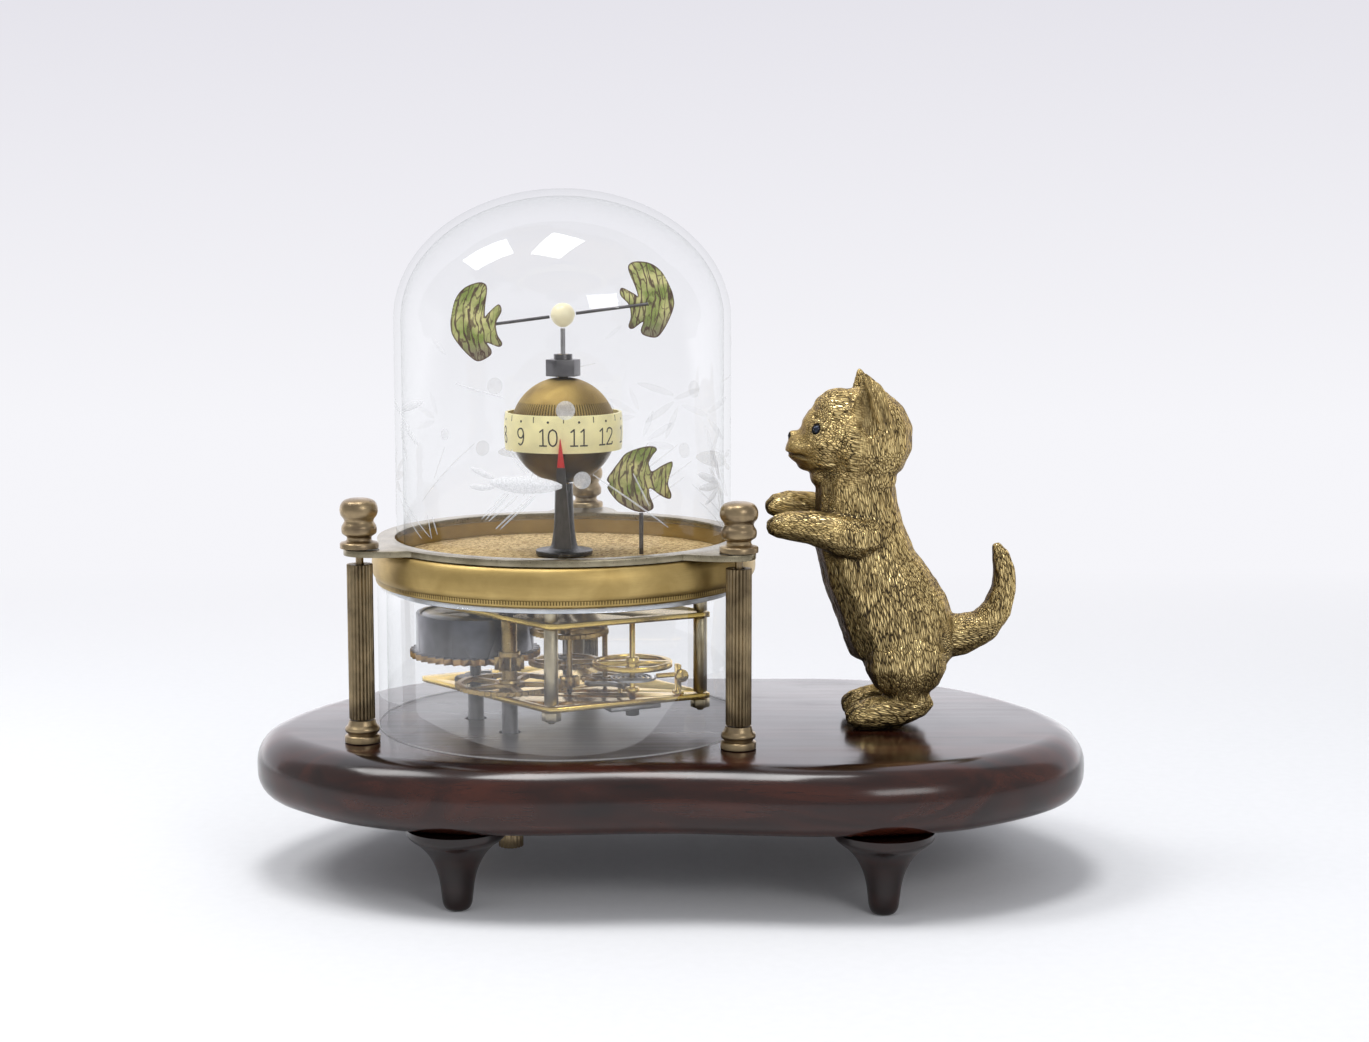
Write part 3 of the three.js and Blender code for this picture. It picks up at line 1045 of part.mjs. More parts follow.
// The stations are set out for a figure 94.2 tall from the soles to the ear tips.
function kitten() {
  const SET_OUT = 94.2;
  const trunk = limb(12,
    [5.4, 0, 9.5, 5.4, 6], [5.6, 0, 12.5, 8.8, 9.4], [6.2, 0, 17.5, 12.4, 12.2], [4.8, 0, 22.5, 14.8, 13.8],
    [2.6, 0, 28.4, 15, 14], [-0.8, 0, 35, 14, 13.4], [-4.5, 0, 42, 13, 12.6], [-7.2, 0, 51, 12.2, 11.8],
    [-7.9, 0, 58, 11.1, 10.8], [-8.3, 0, 64.5, 10.6, 10.2], [-8, 0, 72, 10, 10]);
  const head = egg(-6.6, 0, 76.4, 13.8, 13.8, 13.8);
  const brow = egg(-12.6, 0, 81.7, 8, 10.4, 8);
  const face = limb(10,
    [-12, 0, 76, 11, 11.4], [-18.6, 0, 75, 9.4, 9.2], [-20.6, 0, 74.2, 7.4, 7.8], [-22.6, 0, 74, 5.5, 6.4],
    [-24.6, 0, 74.2, 4, 5], [-25.9, 0, 74.6, 2.8, 3.6], [-26.4, 0, 74.8, 1.7, 2.2]);
  const tail = limb(9,
    [13, 0, 23, 6.4, 6.4], [20.6, 0, 23.6, 5.8, 5.7], [26.4, 0, 26, 4.8, 4.8], [30, 0, 30.6, 4.1, 4.1],
    [31.7, 0, 36.4, 3.5, 3.5], [31.6, 0, 41, 3.1, 3.1], [30.6, 0, 45, 2.5, 2.5], [29.2, 0, 48.2, 1.1, 1.1]);
  const pieces = [head, brow, face, tail];
  for (const side of [-1, 1]) {
    const lift = side < 0 ? 0 : 3.8;
    const foot = side * CAT_FOOT_SPREAD;
    const ear = limb(8,
      [-4, side * 9.4, 77.5, 5.6, 3.4], [-4.7, side * 10.2, 84, 4.9, 2.8],
      [-5.9, side * 10.2, 89.6, 2.8, 1.7], [-6.8, side * 9.9, SET_OUT, 0.7, 0.5]);
    const arm = limb(9,
      [-3, side * 8.4, 51, 4.6, 4], [-8, side * 10.2, 50.8, 5.8, 4.8],
      [-13, side * 10.4, 51.6 + 0.5 * lift, 5.5, 4.9], [-20, side * 8.6, 53.5 + 0.8 * lift, 4.7, 4.5],
      [-26, side * 7.2, 53.8 + lift, 4, 4.2], [-29.6, side * 6.4, 53.6 + lift, 3.2, 3.4],
      [-31.8, side * 6, 53.2 + lift, 1.6, 1.8]);
    const thigh = egg(5, foot, 18, 11.2, 7.2, 10.8);
    const shin = limb(8, [4.4, foot, 13, 6.6, 5.4], [6.2, foot, 9, 5.8, 4.7], [8.6, foot, 6.4, 3, 3.2]);
    const paw = limb(8,
      [11.8, foot, 7.8, 2, 2.6], [9, foot, 6.5, 3.7, 4], [3.5, foot, 4.9, 4.7, 4.7], [-3, foot, 4, 4.4, 5.4],
      [-8, foot, 3.2, 3.6, 5.4], [-10.8, foot, 2.6, 1.8, 3.6]);
    pieces.push(ear, arm, thigh, shin, paw);
  }
  const below = block(2 * SET_OUT, SET_OUT, -SET_OUT, 0);
  return cut(join(trunk, ...pieces), below).scale(...Array(3).fill(CAT_HEIGHT / SET_OUT));
}
place(cat, "cat_figure", GOLD_BRONZE, kitten());

export default part;
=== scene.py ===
"""Looks of an automaton clock: circling fish in a glass dome over an open movement, watched by a kitten."""
import json
import logging
import math
from dataclasses import dataclass, field
from enum import Enum
from typing import Iterable, Sequence

import bmesh
import bpy
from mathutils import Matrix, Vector, kdtree, noise

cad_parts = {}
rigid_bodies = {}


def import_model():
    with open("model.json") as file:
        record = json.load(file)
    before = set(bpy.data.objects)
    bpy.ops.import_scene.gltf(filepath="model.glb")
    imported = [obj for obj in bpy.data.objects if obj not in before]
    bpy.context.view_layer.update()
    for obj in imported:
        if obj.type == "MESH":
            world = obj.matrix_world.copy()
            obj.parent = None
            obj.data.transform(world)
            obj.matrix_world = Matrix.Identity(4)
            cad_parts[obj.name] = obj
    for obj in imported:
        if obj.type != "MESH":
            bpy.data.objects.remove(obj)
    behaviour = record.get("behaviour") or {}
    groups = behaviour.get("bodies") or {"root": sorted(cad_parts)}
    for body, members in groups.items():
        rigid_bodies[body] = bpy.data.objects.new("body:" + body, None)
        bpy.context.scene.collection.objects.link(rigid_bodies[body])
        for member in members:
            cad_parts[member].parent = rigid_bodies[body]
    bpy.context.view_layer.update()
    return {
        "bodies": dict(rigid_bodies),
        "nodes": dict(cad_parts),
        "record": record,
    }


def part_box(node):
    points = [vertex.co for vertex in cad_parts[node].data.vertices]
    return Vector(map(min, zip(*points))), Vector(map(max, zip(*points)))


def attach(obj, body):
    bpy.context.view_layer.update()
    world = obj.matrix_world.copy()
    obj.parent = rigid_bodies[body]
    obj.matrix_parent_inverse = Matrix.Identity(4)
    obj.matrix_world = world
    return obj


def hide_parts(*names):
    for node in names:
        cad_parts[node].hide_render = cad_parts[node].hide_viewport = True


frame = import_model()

LOG = logging.getLogger("clock")
MM = 0.001
TAU = math.tau
MERGE = 1e-7  # points closer than this are one point
SEAT = 0.3 * MM  # clearance between pieces that rest on each other
POST_BORE = 1.85 * MM  # bore for the hour tube through post, sand and carrier
ROD_HOLE = 1.35 * MM  # bore for the tie rods of the pillars
BLUR = 0.1 * MM  # width of a painted border

Colour = tuple[float, float, float]
Profile = list[tuple[float, float]]
Knots = tuple[tuple[float, float], ...]


# Pen strokes of the hour figures in a cell 0.6 wide and 1 tall; True marks a curved stroke, 9 is a turned 6
NUMERALS: dict[str, list[tuple[list[tuple[float, float]], bool]]] = {
    "0": [([(0.3, 1.0), (0.1, 0.85), (0.04, 0.5), (0.1, 0.15), (0.3, 0.0), (0.5, 0.15), (0.56, 0.5),
            (0.5, 0.85), (0.3, 1.0)], True)],
    "1": [([(0.1, 0.84), (0.3, 1.0), (0.3, 0.0)], False), ([(0.08, 0.0), (0.52, 0.0)], False)],
    "2": [([(0.05, 0.76), (0.12, 0.94), (0.3, 1.0), (0.5, 0.9), (0.52, 0.68), (0.36, 0.42),
            (0.05, 0.0)], True),
          ([(0.05, 0.0), (0.56, 0.0), (0.58, 0.14)], False)],
    "3": [([(0.06, 0.85), (0.18, 0.98), (0.35, 1.0), (0.5, 0.87), (0.48, 0.66), (0.24, 0.53)], True),
          ([(0.24, 0.53), (0.46, 0.47), (0.56, 0.28), (0.48, 0.08), (0.3, 0.0), (0.14, 0.03),
            (0.04, 0.15)], True)],
    "4": [([(0.58, 0.28), (0.02, 0.28), (0.4, 1.0), (0.4, 0.0)], False), ([(0.26, 0.0), (0.54, 0.0)], False)],
    "5": [([(0.5, 1.0), (0.14, 1.0), (0.1, 0.56)], False),
          ([(0.1, 0.56), (0.28, 0.64), (0.48, 0.55), (0.55, 0.33), (0.46, 0.1), (0.28, 0.0),
            (0.04, 0.12)], True)],
    "6": [([(0.5, 0.93), (0.34, 1.0), (0.15, 0.85), (0.06, 0.55), (0.06, 0.28), (0.16, 0.05), (0.32, 0.0),
            (0.5, 0.1), (0.55, 0.3), (0.47, 0.5), (0.3, 0.58), (0.14, 0.5), (0.07, 0.34)], True)],
    "7": [([(0.04, 0.86), (0.04, 1.0), (0.56, 1.0)], False),
          ([(0.56, 1.0), (0.36, 0.55), (0.24, 0.0)], True)],
    "8": [([(0.3, 0.54), (0.12, 0.66), (0.1, 0.86), (0.3, 1.0), (0.5, 0.86), (0.48, 0.66), (0.3, 0.54),
            (0.08, 0.4), (0.05, 0.16), (0.3, 0.0), (0.55, 0.16), (0.52, 0.4), (0.3, 0.54)], True)],
}


class Grain(Enum):
    """Direction of the fine tool marks on a metal surface."""

    CAST = "cast"
    TURNED = "turned"
    DRAWN = "drawn"


class NodeName(Enum):
    """The shader nodes that the finishes are made of."""

    COORDS = "ShaderNodeTexCoord"
    MAPPING = "ShaderNodeMapping"
    NOISE = "ShaderNodeTexNoise"
    CELLS = "ShaderNodeTexVoronoi"
    RAMP = "ShaderNodeValToRGB"
    BUMP = "ShaderNodeBump"
    MATH = "ShaderNodeMath"
    MIX = "ShaderNodeMix"
    SPLIT = "ShaderNodeSeparateXYZ"
    ATTRIBUTE = "ShaderNodeAttribute"
    GRADIENT = "ShaderNodeTexGradient"
    GEOMETRY = "ShaderNodeNewGeometry"
    FACING = "ShaderNodeLayerWeight"
    RAYS = "ShaderNodeLightPath"
    TRANSPARENT = "ShaderNodeBsdfTransparent"
    GLOSSY = "ShaderNodeBsdfGlossy"
    EMISSION = "ShaderNodeEmission"
    MIX_SHADER = "ShaderNodeMixShader"


class Workbench:
    """A new material's node tree, with short calls for the nodes that the finishes use.

    Noise and cells are scaled per metre; ramps and most steps read values from 0 to 1.
    """

    def __init__(self, name: str) -> None:
        """Start a material that holds one Principled shader."""
        self.material = bpy.data.materials.new(name)
        self.material.use_nodes = True
        self.tree = self.material.node_tree
        self.shader = self.tree.nodes["Principled BSDF"]
        self.output = self.tree.nodes["Material Output"]

    def node(self, kind: NodeName) -> bpy.types.Node:
        """Add one node of the given kind."""
        return self.tree.nodes.new(kind.value)

    def feed(self, socket: bpy.types.NodeSocket, value: object) -> None:
        """Link a socket into another, or set it to a plain value.

        Args:
            socket: The input to fill.
            value: An output socket, a number or a colour.
        """
        if isinstance(value, bpy.types.NodeSocket):
            self.tree.links.new(value, socket)
        elif isinstance(value, tuple) and len(value) == 3 and socket.type == "RGBA":
            socket.default_value = (*value, 1.0)
        else:
            socket.default_value = value

    def place(self, scale: tuple[float, float, float] = (1, 1, 1), centre: Vector | None = None,
              turn: tuple[float, float, float] = (0, 0, 0)) -> bpy.types.NodeSocket:
        """Object coordinates, centred, turned and scaled.

        Args:
            scale: Factor along each axis, per metre.
            centre: The point that becomes the pattern's origin.
            turn: Rotation of the pattern in radians.

        Returns:
            The vector socket.
        """
        coords = self.node(NodeName.COORDS)
        laid = self.node(NodeName.MAPPING)
        laid.vector_type = "TEXTURE"
        laid.inputs["Location"].default_value = centre or Vector((0, 0, 0))
        laid.inputs["Rotation"].default_value = turn
        laid.inputs["Scale"].default_value = [1 / factor for factor in scale]
        self.feed(laid.inputs["Vector"], coords.outputs["Object"])
        return laid.outputs["Vector"]

    def noise(self, vector: bpy.types.NodeSocket, scale: float, detail: float = 4.0,
              distortion: float = 0.0) -> bpy.types.NodeSocket:
        """Fractal noise between 0 and 1.

        Args:
            vector: The places to read.
            scale: Crowding of the pattern.
            detail: Layers of finer noise.
            distortion: How far the pattern is stirred.

        Returns:
            The noise.
        """
        made = self.node(NodeName.NOISE)
        made.inputs["Scale"].default_value = scale
        made.inputs["Detail"].default_value = detail
        made.inputs["Distortion"].default_value = distortion
        self.feed(made.inputs["Vector"], vector)
        return made.outputs["Fac"]

    def cells(self, vector: bpy.types.NodeSocket, scale: float, walls: bool = False) -> bpy.types.Node:
        """Voronoi cells.

        Args:
            vector: The places to read.
            scale: Crowding of the cells.
            walls: True to measure to the nearest wall, not to the middle.

        Returns:
            The node, with the outputs Distance and Color.
        """
        made = self.node(NodeName.CELLS)
        made.feature = "DISTANCE_TO_EDGE" if walls else "F1"
        made.inputs["Scale"].default_value = scale
        self.feed(made.inputs["Vector"], vector)
        return made

    def ramp(self, factor: bpy.types.NodeSocket, *stops: tuple[float, Colour]) -> bpy.types.NodeSocket:
        """Colours laid out along a factor.

        Args:
            factor: The value to read.
            stops: Places between 0 and 1 with their colours, in rising order.

        Returns:
            The colour socket.
        """
        made = self.node(NodeName.RAMP)
        elements = made.color_ramp.elements
        while len(elements) < len(stops):
            elements.new(0.5)
        for element, (at, colour) in zip(elements, stops):
            element.position = at
            element.color = (*colour, 1.0)
        self.feed(made.inputs["Fac"], factor)
        return made.outputs["Color"]

    def step(self, factor: bpy.types.NodeSocket, low: float, high: float) -> bpy.types.NodeSocket:
        """A soft switch from 0 to 1.

        Args:
            factor: The value to read.
            low: Where the switch is 0.
            high: Where it is 1; it may lie below low.

        Returns:
            The switch.
        """
        shifted = self.sum("SUBTRACT", factor, low)
        scaled = self.sum("DIVIDE", shifted, high - low)
        scaled.node.use_clamp = True
        return scaled

    def sum(self, operation: str, first: object, second: object = 0.0) -> bpy.types.NodeSocket:
        """One arithmetic operation.

        Args:
            operation: Blender's name for it.
            first: A socket or a number.
            second: The same, where the operation takes two.

        Returns:
            The result.
        """
        made = self.node(NodeName.MATH)
        made.operation = operation
        self.feed(made.inputs[0], first)
        self.feed(made.inputs[1], second)
        return made.outputs["Value"]

    def blend(self, factor: object, first: object, second: object) -> bpy.types.NodeSocket:
        """A mix of two colours.

        Args:
            factor: Share of the second colour.
            first: A socket or a colour.
            second: A socket or a colour.

        Returns:
            The mixed colour.
        """
        made = self.node(NodeName.MIX)
        made.data_type = "RGBA"
        self.feed(made.inputs["Factor"], factor)
        self.feed(made.inputs[6], first)
        self.feed(made.inputs[7], second)
        return made.outputs[2]

    def axes(self, vector: bpy.types.NodeSocket) -> dict[str, bpy.types.NodeSocket]:
        """The X, Y and Z parts of a vector.

        Args:
            vector: The vector to split.

        Returns:
            The parts by axis.
        """
        made = self.node(NodeName.SPLIT)
        self.feed(made.inputs[0], vector)
        return {axis: made.outputs[axis] for axis in "XYZ"}

    def round(self, vector: bpy.types.NodeSocket, count: float) -> bpy.types.NodeSocket:
        """Equal sectors about Z.

        Args:
            vector: The places to read.
            count: Number of sectors.

        Returns:
            How far, from 0 to 1, each place lies within its sector.
        """
        made = self.node(NodeName.GRADIENT)
        made.gradient_type = "RADIAL"
        self.feed(made.inputs["Vector"], vector)
        return self.sum("FRACT", self.sum("MULTIPLY", made.outputs["Fac"], count))

    def near(self, vector: bpy.types.NodeSocket) -> bpy.types.NodeSocket:
        """Closeness to the pattern's origin.

        Args:
            vector: The places to read.

        Returns:
            1 at the origin, falling to 0 at a distance of 1 from it.
        """
        made = self.node(NodeName.GRADIENT)
        made.gradient_type = "SPHERICAL"
        self.feed(made.inputs["Vector"], vector)
        return made.outputs["Fac"]

    def stored(self, name: str) -> bpy.types.NodeSocket:
        """A value stored on the mesh.

        Args:
            name: Name of the attribute.

        Returns:
            The value.
        """
        made = self.node(NodeName.ATTRIBUTE)
        made.attribute_name = name
        return made.outputs["Fac"]

    def relief(self, height: bpy.types.NodeSocket, depth: float, strength: float = 1.0) -> None:
        """Shade the surface as if it were raised.

        Args:
            height: Height from 0 to 1.
            depth: What a height of 1 stands for, in metres.
            strength: Share of the effect.
        """
        made = self.node(NodeName.BUMP)
        made.inputs["Strength"].default_value = strength
        made.inputs["Distance"].default_value = depth
        self.feed(made.inputs["Height"], height)
        self.feed(self.shader.inputs["Normal"], made.outputs["Normal"])

    def line(self, value: object, gain: object, base: object) -> bpy.types.NodeSocket:
        """A value times a gain, added to a base."""
        return self.sum("ADD", base, self.sum("MULTIPLY", value, gain))

    def outside(self) -> bpy.types.NodeSocket:
        """1 on the outer side of a face and 0 on its inner side."""
        return self.sum("SUBTRACT", 1.0, self.node(NodeName.GEOMETRY).outputs["Backfacing"])

    def mix(self, share: bpy.types.NodeSocket, first: bpy.types.NodeSocket,
            second: bpy.types.NodeSocket) -> None:
        """Let the material be a mix of two shaders.

        Args:
            share: Share of the second shader.
            first: Output of the first shader.
            second: Output of the second shader.
        """
        mixed = self.node(NodeName.MIX_SHADER)
        for socket, value in zip(mixed.inputs, (share, first, second)):
            self.feed(socket, value)
        self.feed(self.output.inputs["Surface"], mixed.outputs["Shader"])

    def set(self, **values: object) -> None:
        """Fill the shader's sockets; an underscore in a name stands for a space."""
        for name, value in values.items():
            self.feed(self.shader.inputs[name.replace("_", " ")], value)


class Finish:
    """A finish that makes its own material."""

    name: str

    def lay(self, bench: Workbench) -> None:
        """Lay the finish on the material in hand."""
        raise NotImplementedError

    def paint(self) -> bpy.types.Material:
        """Make the material.

        Returns:
            The new material.
        """
        bench = Workbench(self.name)
        self.lay(bench)
        return bench.material


@dataclass(frozen=True)
class Metal(Finish):
    """A metal with patches of tarnish, tool marks and uneven polish."""

    name: str
    bright: Colour
    tarnish: Colour
    roughness: float
    grain: Grain = Grain.CAST
    tarnish_share: float = 0.5
    patch_per_m: float = 160.0
    grain_depth: float = 0.03 * MM
    centre: tuple[float, float] = (0.0, 0.0)

    def surface(self, bench: Workbench) -> bpy.types.NodeSocket:
        """Colour of the metal with its patches of tarnish.

        Args:
            bench: The material in hand.

        Returns:
            The colour.
        """
        patches = bench.noise(bench.place(), self.patch_per_m, 5.0, 0.4)
        edge = 0.5 + 0.5 * (0.5 - self.tarnish_share)
        return bench.ramp(patches, (edge - 0.22, self.tarnish), (edge + 0.22, self.bright))

    def lay(self, bench: Workbench) -> None:
        """Lay on the tarnish, tool marks and polish.

        Args:
            bench: The material in hand.
        """
        marks_scale = {
            Grain.CAST: (1.0, 1.0, 1.0),
            Grain.TURNED: (0.12, 0.12, 3.0),
            Grain.DRAWN: (2.4, 2.4, 0.06),
        }[self.grain]
        marks = bench.noise(bench.place(marks_scale), 2200.0, 3.0)
        shade = tuple(0.72 * part for part in self.bright)
        rubbed = bench.sum("MULTIPLY", bench.step(marks, 0.45, 0.75), 0.35)
        worn = bench.blend(rubbed, self.surface(bench), shade)
        gloss = bench.line(marks, 0.2, self.roughness - 0.1)
        bench.set(Base_Color=worn, Metallic=1.0, Roughness=gloss)
        bench.relief(marks, self.grain_depth)


@dataclass(frozen=True)
class TickedMetal(Metal):
    """A turned metal with a belt of fine engraved ticks between two heights."""

    low: float = 0.0
    high: float = 0.0
    ticks: int = 300
    ink: Colour = (0.05, 0.035, 0.012)

    def surface(self, bench: Workbench) -> bpy.types.NodeSocket:
        """Colour of the metal with the ticks inked in.

        Args:
            bench: The material in hand.

        Returns:
            The colour.
        """
        spot = bench.place(centre=Vector((*self.centre, 0)))
        height = bench.axes(spot)["Z"]
        inside = bench.sum("MULTIPLY", bench.step(height, self.low, self.low + BLUR),
                           bench.step(height, self.high, self.high - BLUR))
        tick = bench.step(bench.round(spot, self.ticks), 0.48, 0.58)
        share = bench.sum("MULTIPLY", bench.sum("MULTIPLY", inside, tick), 0.85)
        return bench.blend(share, super().surface(bench), self.ink)


@dataclass(frozen=True)
class RimmedMetal(Metal):
    """A metal drum with a toothed rim of warmer metal below a given height."""

    change: float = 0.0
    rim: Colour = (0.5, 0.31, 0.13)

    def surface(self, bench: Workbench) -> bpy.types.NodeSocket:
        """Colour of the drum above and of the rim below.

        Args:
            bench: The material in hand.

        Returns:
            The colour.
        """
        height = bench.axes(bench.place())["Z"]
        above = bench.step(height, self.change, self.change + BLUR)
        return bench.blend(above, self.rim, super().surface(bench))


@dataclass(frozen=True)
class Lacquer(Finish):
    """Polished mahogany under clear lacquer, its grain running along X."""

    name: str = "mahogany"
    light: Colour = (0.052, 0.011, 0.005)
    middle: Colour = (0.022, 0.005, 0.0028)
    dark: Colour = (0.006, 0.0018, 0.0012)
    centre: tuple[float, float] = (0.0, 0.0)
    covered: float = 0.0
    border: float = 0.6 * MM
    dulled: float = 0.12
    # Colour of the grey film under the lower glass: dust and a painted sheen.
    dust: Colour = (0.21, 0.2, 0.215)

    def lay(self, bench: Workbench) -> None:
        """Lay on the grain, pores and lacquer.

        Args:
            bench: The material in hand.
        """
        figure = bench.noise(bench.place((7.0, 34.0, 34.0)), 3.0, 5.0, 1.1)
        pores = bench.noise(bench.place((60.0, 900.0, 900.0)), 2.0, 2.0)
        smudge = bench.noise(bench.place(), 45.0, 4.0)
        colour = bench.ramp(figure, (0.32, self.dark), (0.5, self.middle), (0.7, self.light))
        pitted = bench.blend(bench.sum("MULTIPLY", bench.step(pores, 0.6, 0.72), 0.55), colour, self.dark)
        gloss = bench.line(smudge, 0.2, 0.24)
        streaks = bench.noise(bench.place((0.06, 1.0, 1.0)), 420.0, 3.0)
        haze = bench.line(bench.sum("ADD", smudge, streaks), 0.17, 0.02)
        if self.covered:
            axes = bench.axes(bench.place(centre=Vector((*self.centre, 0))))
            across = bench.sum("MULTIPLY", axes["X"], axes["X"])
            away = bench.sum("SQRT", bench.line(axes["Y"], axes["Y"], across))
            under = bench.step(away, self.covered, self.covered - self.border)
            haze = bench.line(under, self.dulled, haze)
            # Dust and painted sheen: a grey, streaked film laid on the wood under the lower glass.
            film = bench.sum("MULTIPLY", under, bench.step(streaks, 0.25, 0.85))
            pitted = bench.blend(film, pitted, self.dust)
        bench.set(Base_Color=pitted, Roughness=gloss, Specular_IOR_Level=0.0)
        bench.set(Coat_Weight=1.0, Coat_Roughness=haze, Coat_IOR=1.5)
        swell = bench.noise(bench.place((1.0, 4.0, 4.0)), 90.0, 3.0)
        bench.relief(bench.line(streaks, 0.6, swell), 0.12 * MM, 0.4)


@dataclass(frozen=True)
class ClearGlass(Finish):
    """Thin clear glass: light passes straight, and the outer face mirrors more where it is seen aslant."""

    name: str = "clear_glass"
    clear: Colour = (0.99, 0.992, 0.992)
    edge: Colour = (0.76, 0.77, 0.765)
    mirror_least: float = 0.04
    mirror_gain: float = 0.2
    slant_power: float = 5.0
    roughness: float = 0.015

    def lay(self, bench: Workbench) -> None:
        """Lay on the clear and mirroring shares.

        Args:
            bench: The material in hand.
        """
        bench.tree.nodes.remove(bench.shader)
        passing = bench.node(NodeName.TRANSPARENT)
        mirror = bench.node(NodeName.GLOSSY)
        facing = bench.node(NodeName.FACING)
        slant = bench.sum("POWER", facing.outputs["Facing"], self.slant_power)
        bench.feed(passing.inputs["Color"], bench.blend(slant, self.clear, self.edge))
        bench.feed(mirror.inputs["Color"], (1.0, 1.0, 1.0))
        bench.feed(mirror.inputs["Roughness"], self.roughness)
        share = bench.line(slant, self.mirror_gain, self.mirror_least)
        seen = bench.sum("MULTIPLY", share, bench.outside())
        bench.mix(seen, passing.outputs["BSDF"], mirror.outputs["BSDF"])


@dataclass(frozen=True)
class Frost(Finish):
    """Wheel-cut frosting on the glass, as dense as each cut's stored cover."""

    name: str = "frosted_cut"
    white: Colour = (0.9, 0.905, 0.915)

    def lay(self, bench: Workbench) -> None:
        """Lay on the ground white.

        Args:
            bench: The material in hand.
        """
        grit = bench.noise(bench.place(), 2600.0, 3.0)
        colour = bench.ramp(grit, (0.3, tuple(0.85 * part for part in self.white)), (0.7, self.white))
        dense = bench.line(grit, 0.55, 0.45)
        cover = bench.sum("MULTIPLY", bench.sum("MULTIPLY", dense, bench.stored("cover")), bench.outside())
        bench.set(Base_Color=colour, Roughness=0.7, Alpha=cover)
        bench.relief(grit, 0.05 * MM)


@dataclass(frozen=True)
class Sand(Finish):
    """Golden sand bonded to a disc."""

    name: str = "golden_sand"
    light: Colour = (0.86, 0.66, 0.34)
    dark: Colour = (0.34, 0.2, 0.07)

    def lay(self, bench: Workbench) -> None:
        """Lay on the grains.

        Args:
            bench: The material in hand.
        """
        grains = bench.cells(bench.place(), 1500.0)
        drift = bench.noise(bench.place(), 120.0, 4.0)
        shade = bench.ramp(bench.axes(grains.outputs["Color"])["X"], (0.1, self.dark), (0.75, self.light))
        patch = bench.blend(bench.sum("MULTIPLY", drift, 0.45), shade, self.dark)
        bench.set(Base_Color=patch, Roughness=0.85)
        bench.relief(grains.outputs["Distance"], 0.4 * MM, 0.8)


@dataclass(frozen=True)
class Enamel(Finish):
    """Painted surface with faint brush mottling and specks of wear."""

    name: str
    coat: Colour
    wear: Colour
    roughness: float = 0.4
    wear_share: float = 0.12
    mottle_per_m: float = 220.0

    def lay(self, bench: Workbench) -> None:
        """Lay on the coat and its wear.

        Args:
            bench: The material in hand.
        """
        mottle = bench.noise(bench.place(), self.mottle_per_m, 5.0)
        specks = bench.noise(bench.place(), 1400.0, 2.0)
        low = tuple(0.82 * part for part in self.coat)
        colour = bench.ramp(mottle, (0.3, low), (0.65, self.coat))
        chipped = bench.step(specks, 0.74 - self.wear_share, 0.86 - self.wear_share)
        worn = bench.blend(bench.sum("MULTIPLY", chipped, 0.6), colour, self.wear)
        gloss = bench.line(mottle, 0.16, self.roughness - 0.08)
        bench.set(Base_Color=worn, Roughness=gloss)
        bench.relief(specks, 0.04 * MM, 0.5)


@dataclass(frozen=True)
class PointerPaint(Finish):
    """Black pointer with a red tip above a given height."""

    change: float
    name: str = "pointer_paint"
    black: Colour = (0.012, 0.012, 0.014)
    rubbed: Colour = (0.06, 0.06, 0.065)
    red: Colour = (0.62, 0.015, 0.012)

    def lay(self, bench: Workbench) -> None:
        """Lay on the black and the red tip.

        Args:
            bench: The material in hand.
        """
        brush = bench.noise(bench.place((1.0, 1.0, 0.2)), 900.0, 3.0)
        tip = bench.step(bench.axes(bench.place())["Z"], self.change, self.change + 2 * BLUR)
        worn = bench.ramp(brush, (0.3, self.black), (0.9, self.rubbed))
        bench.set(Base_Color=bench.blend(tip, worn, self.red), Roughness=0.38)
        bench.relief(brush, 0.03 * MM)


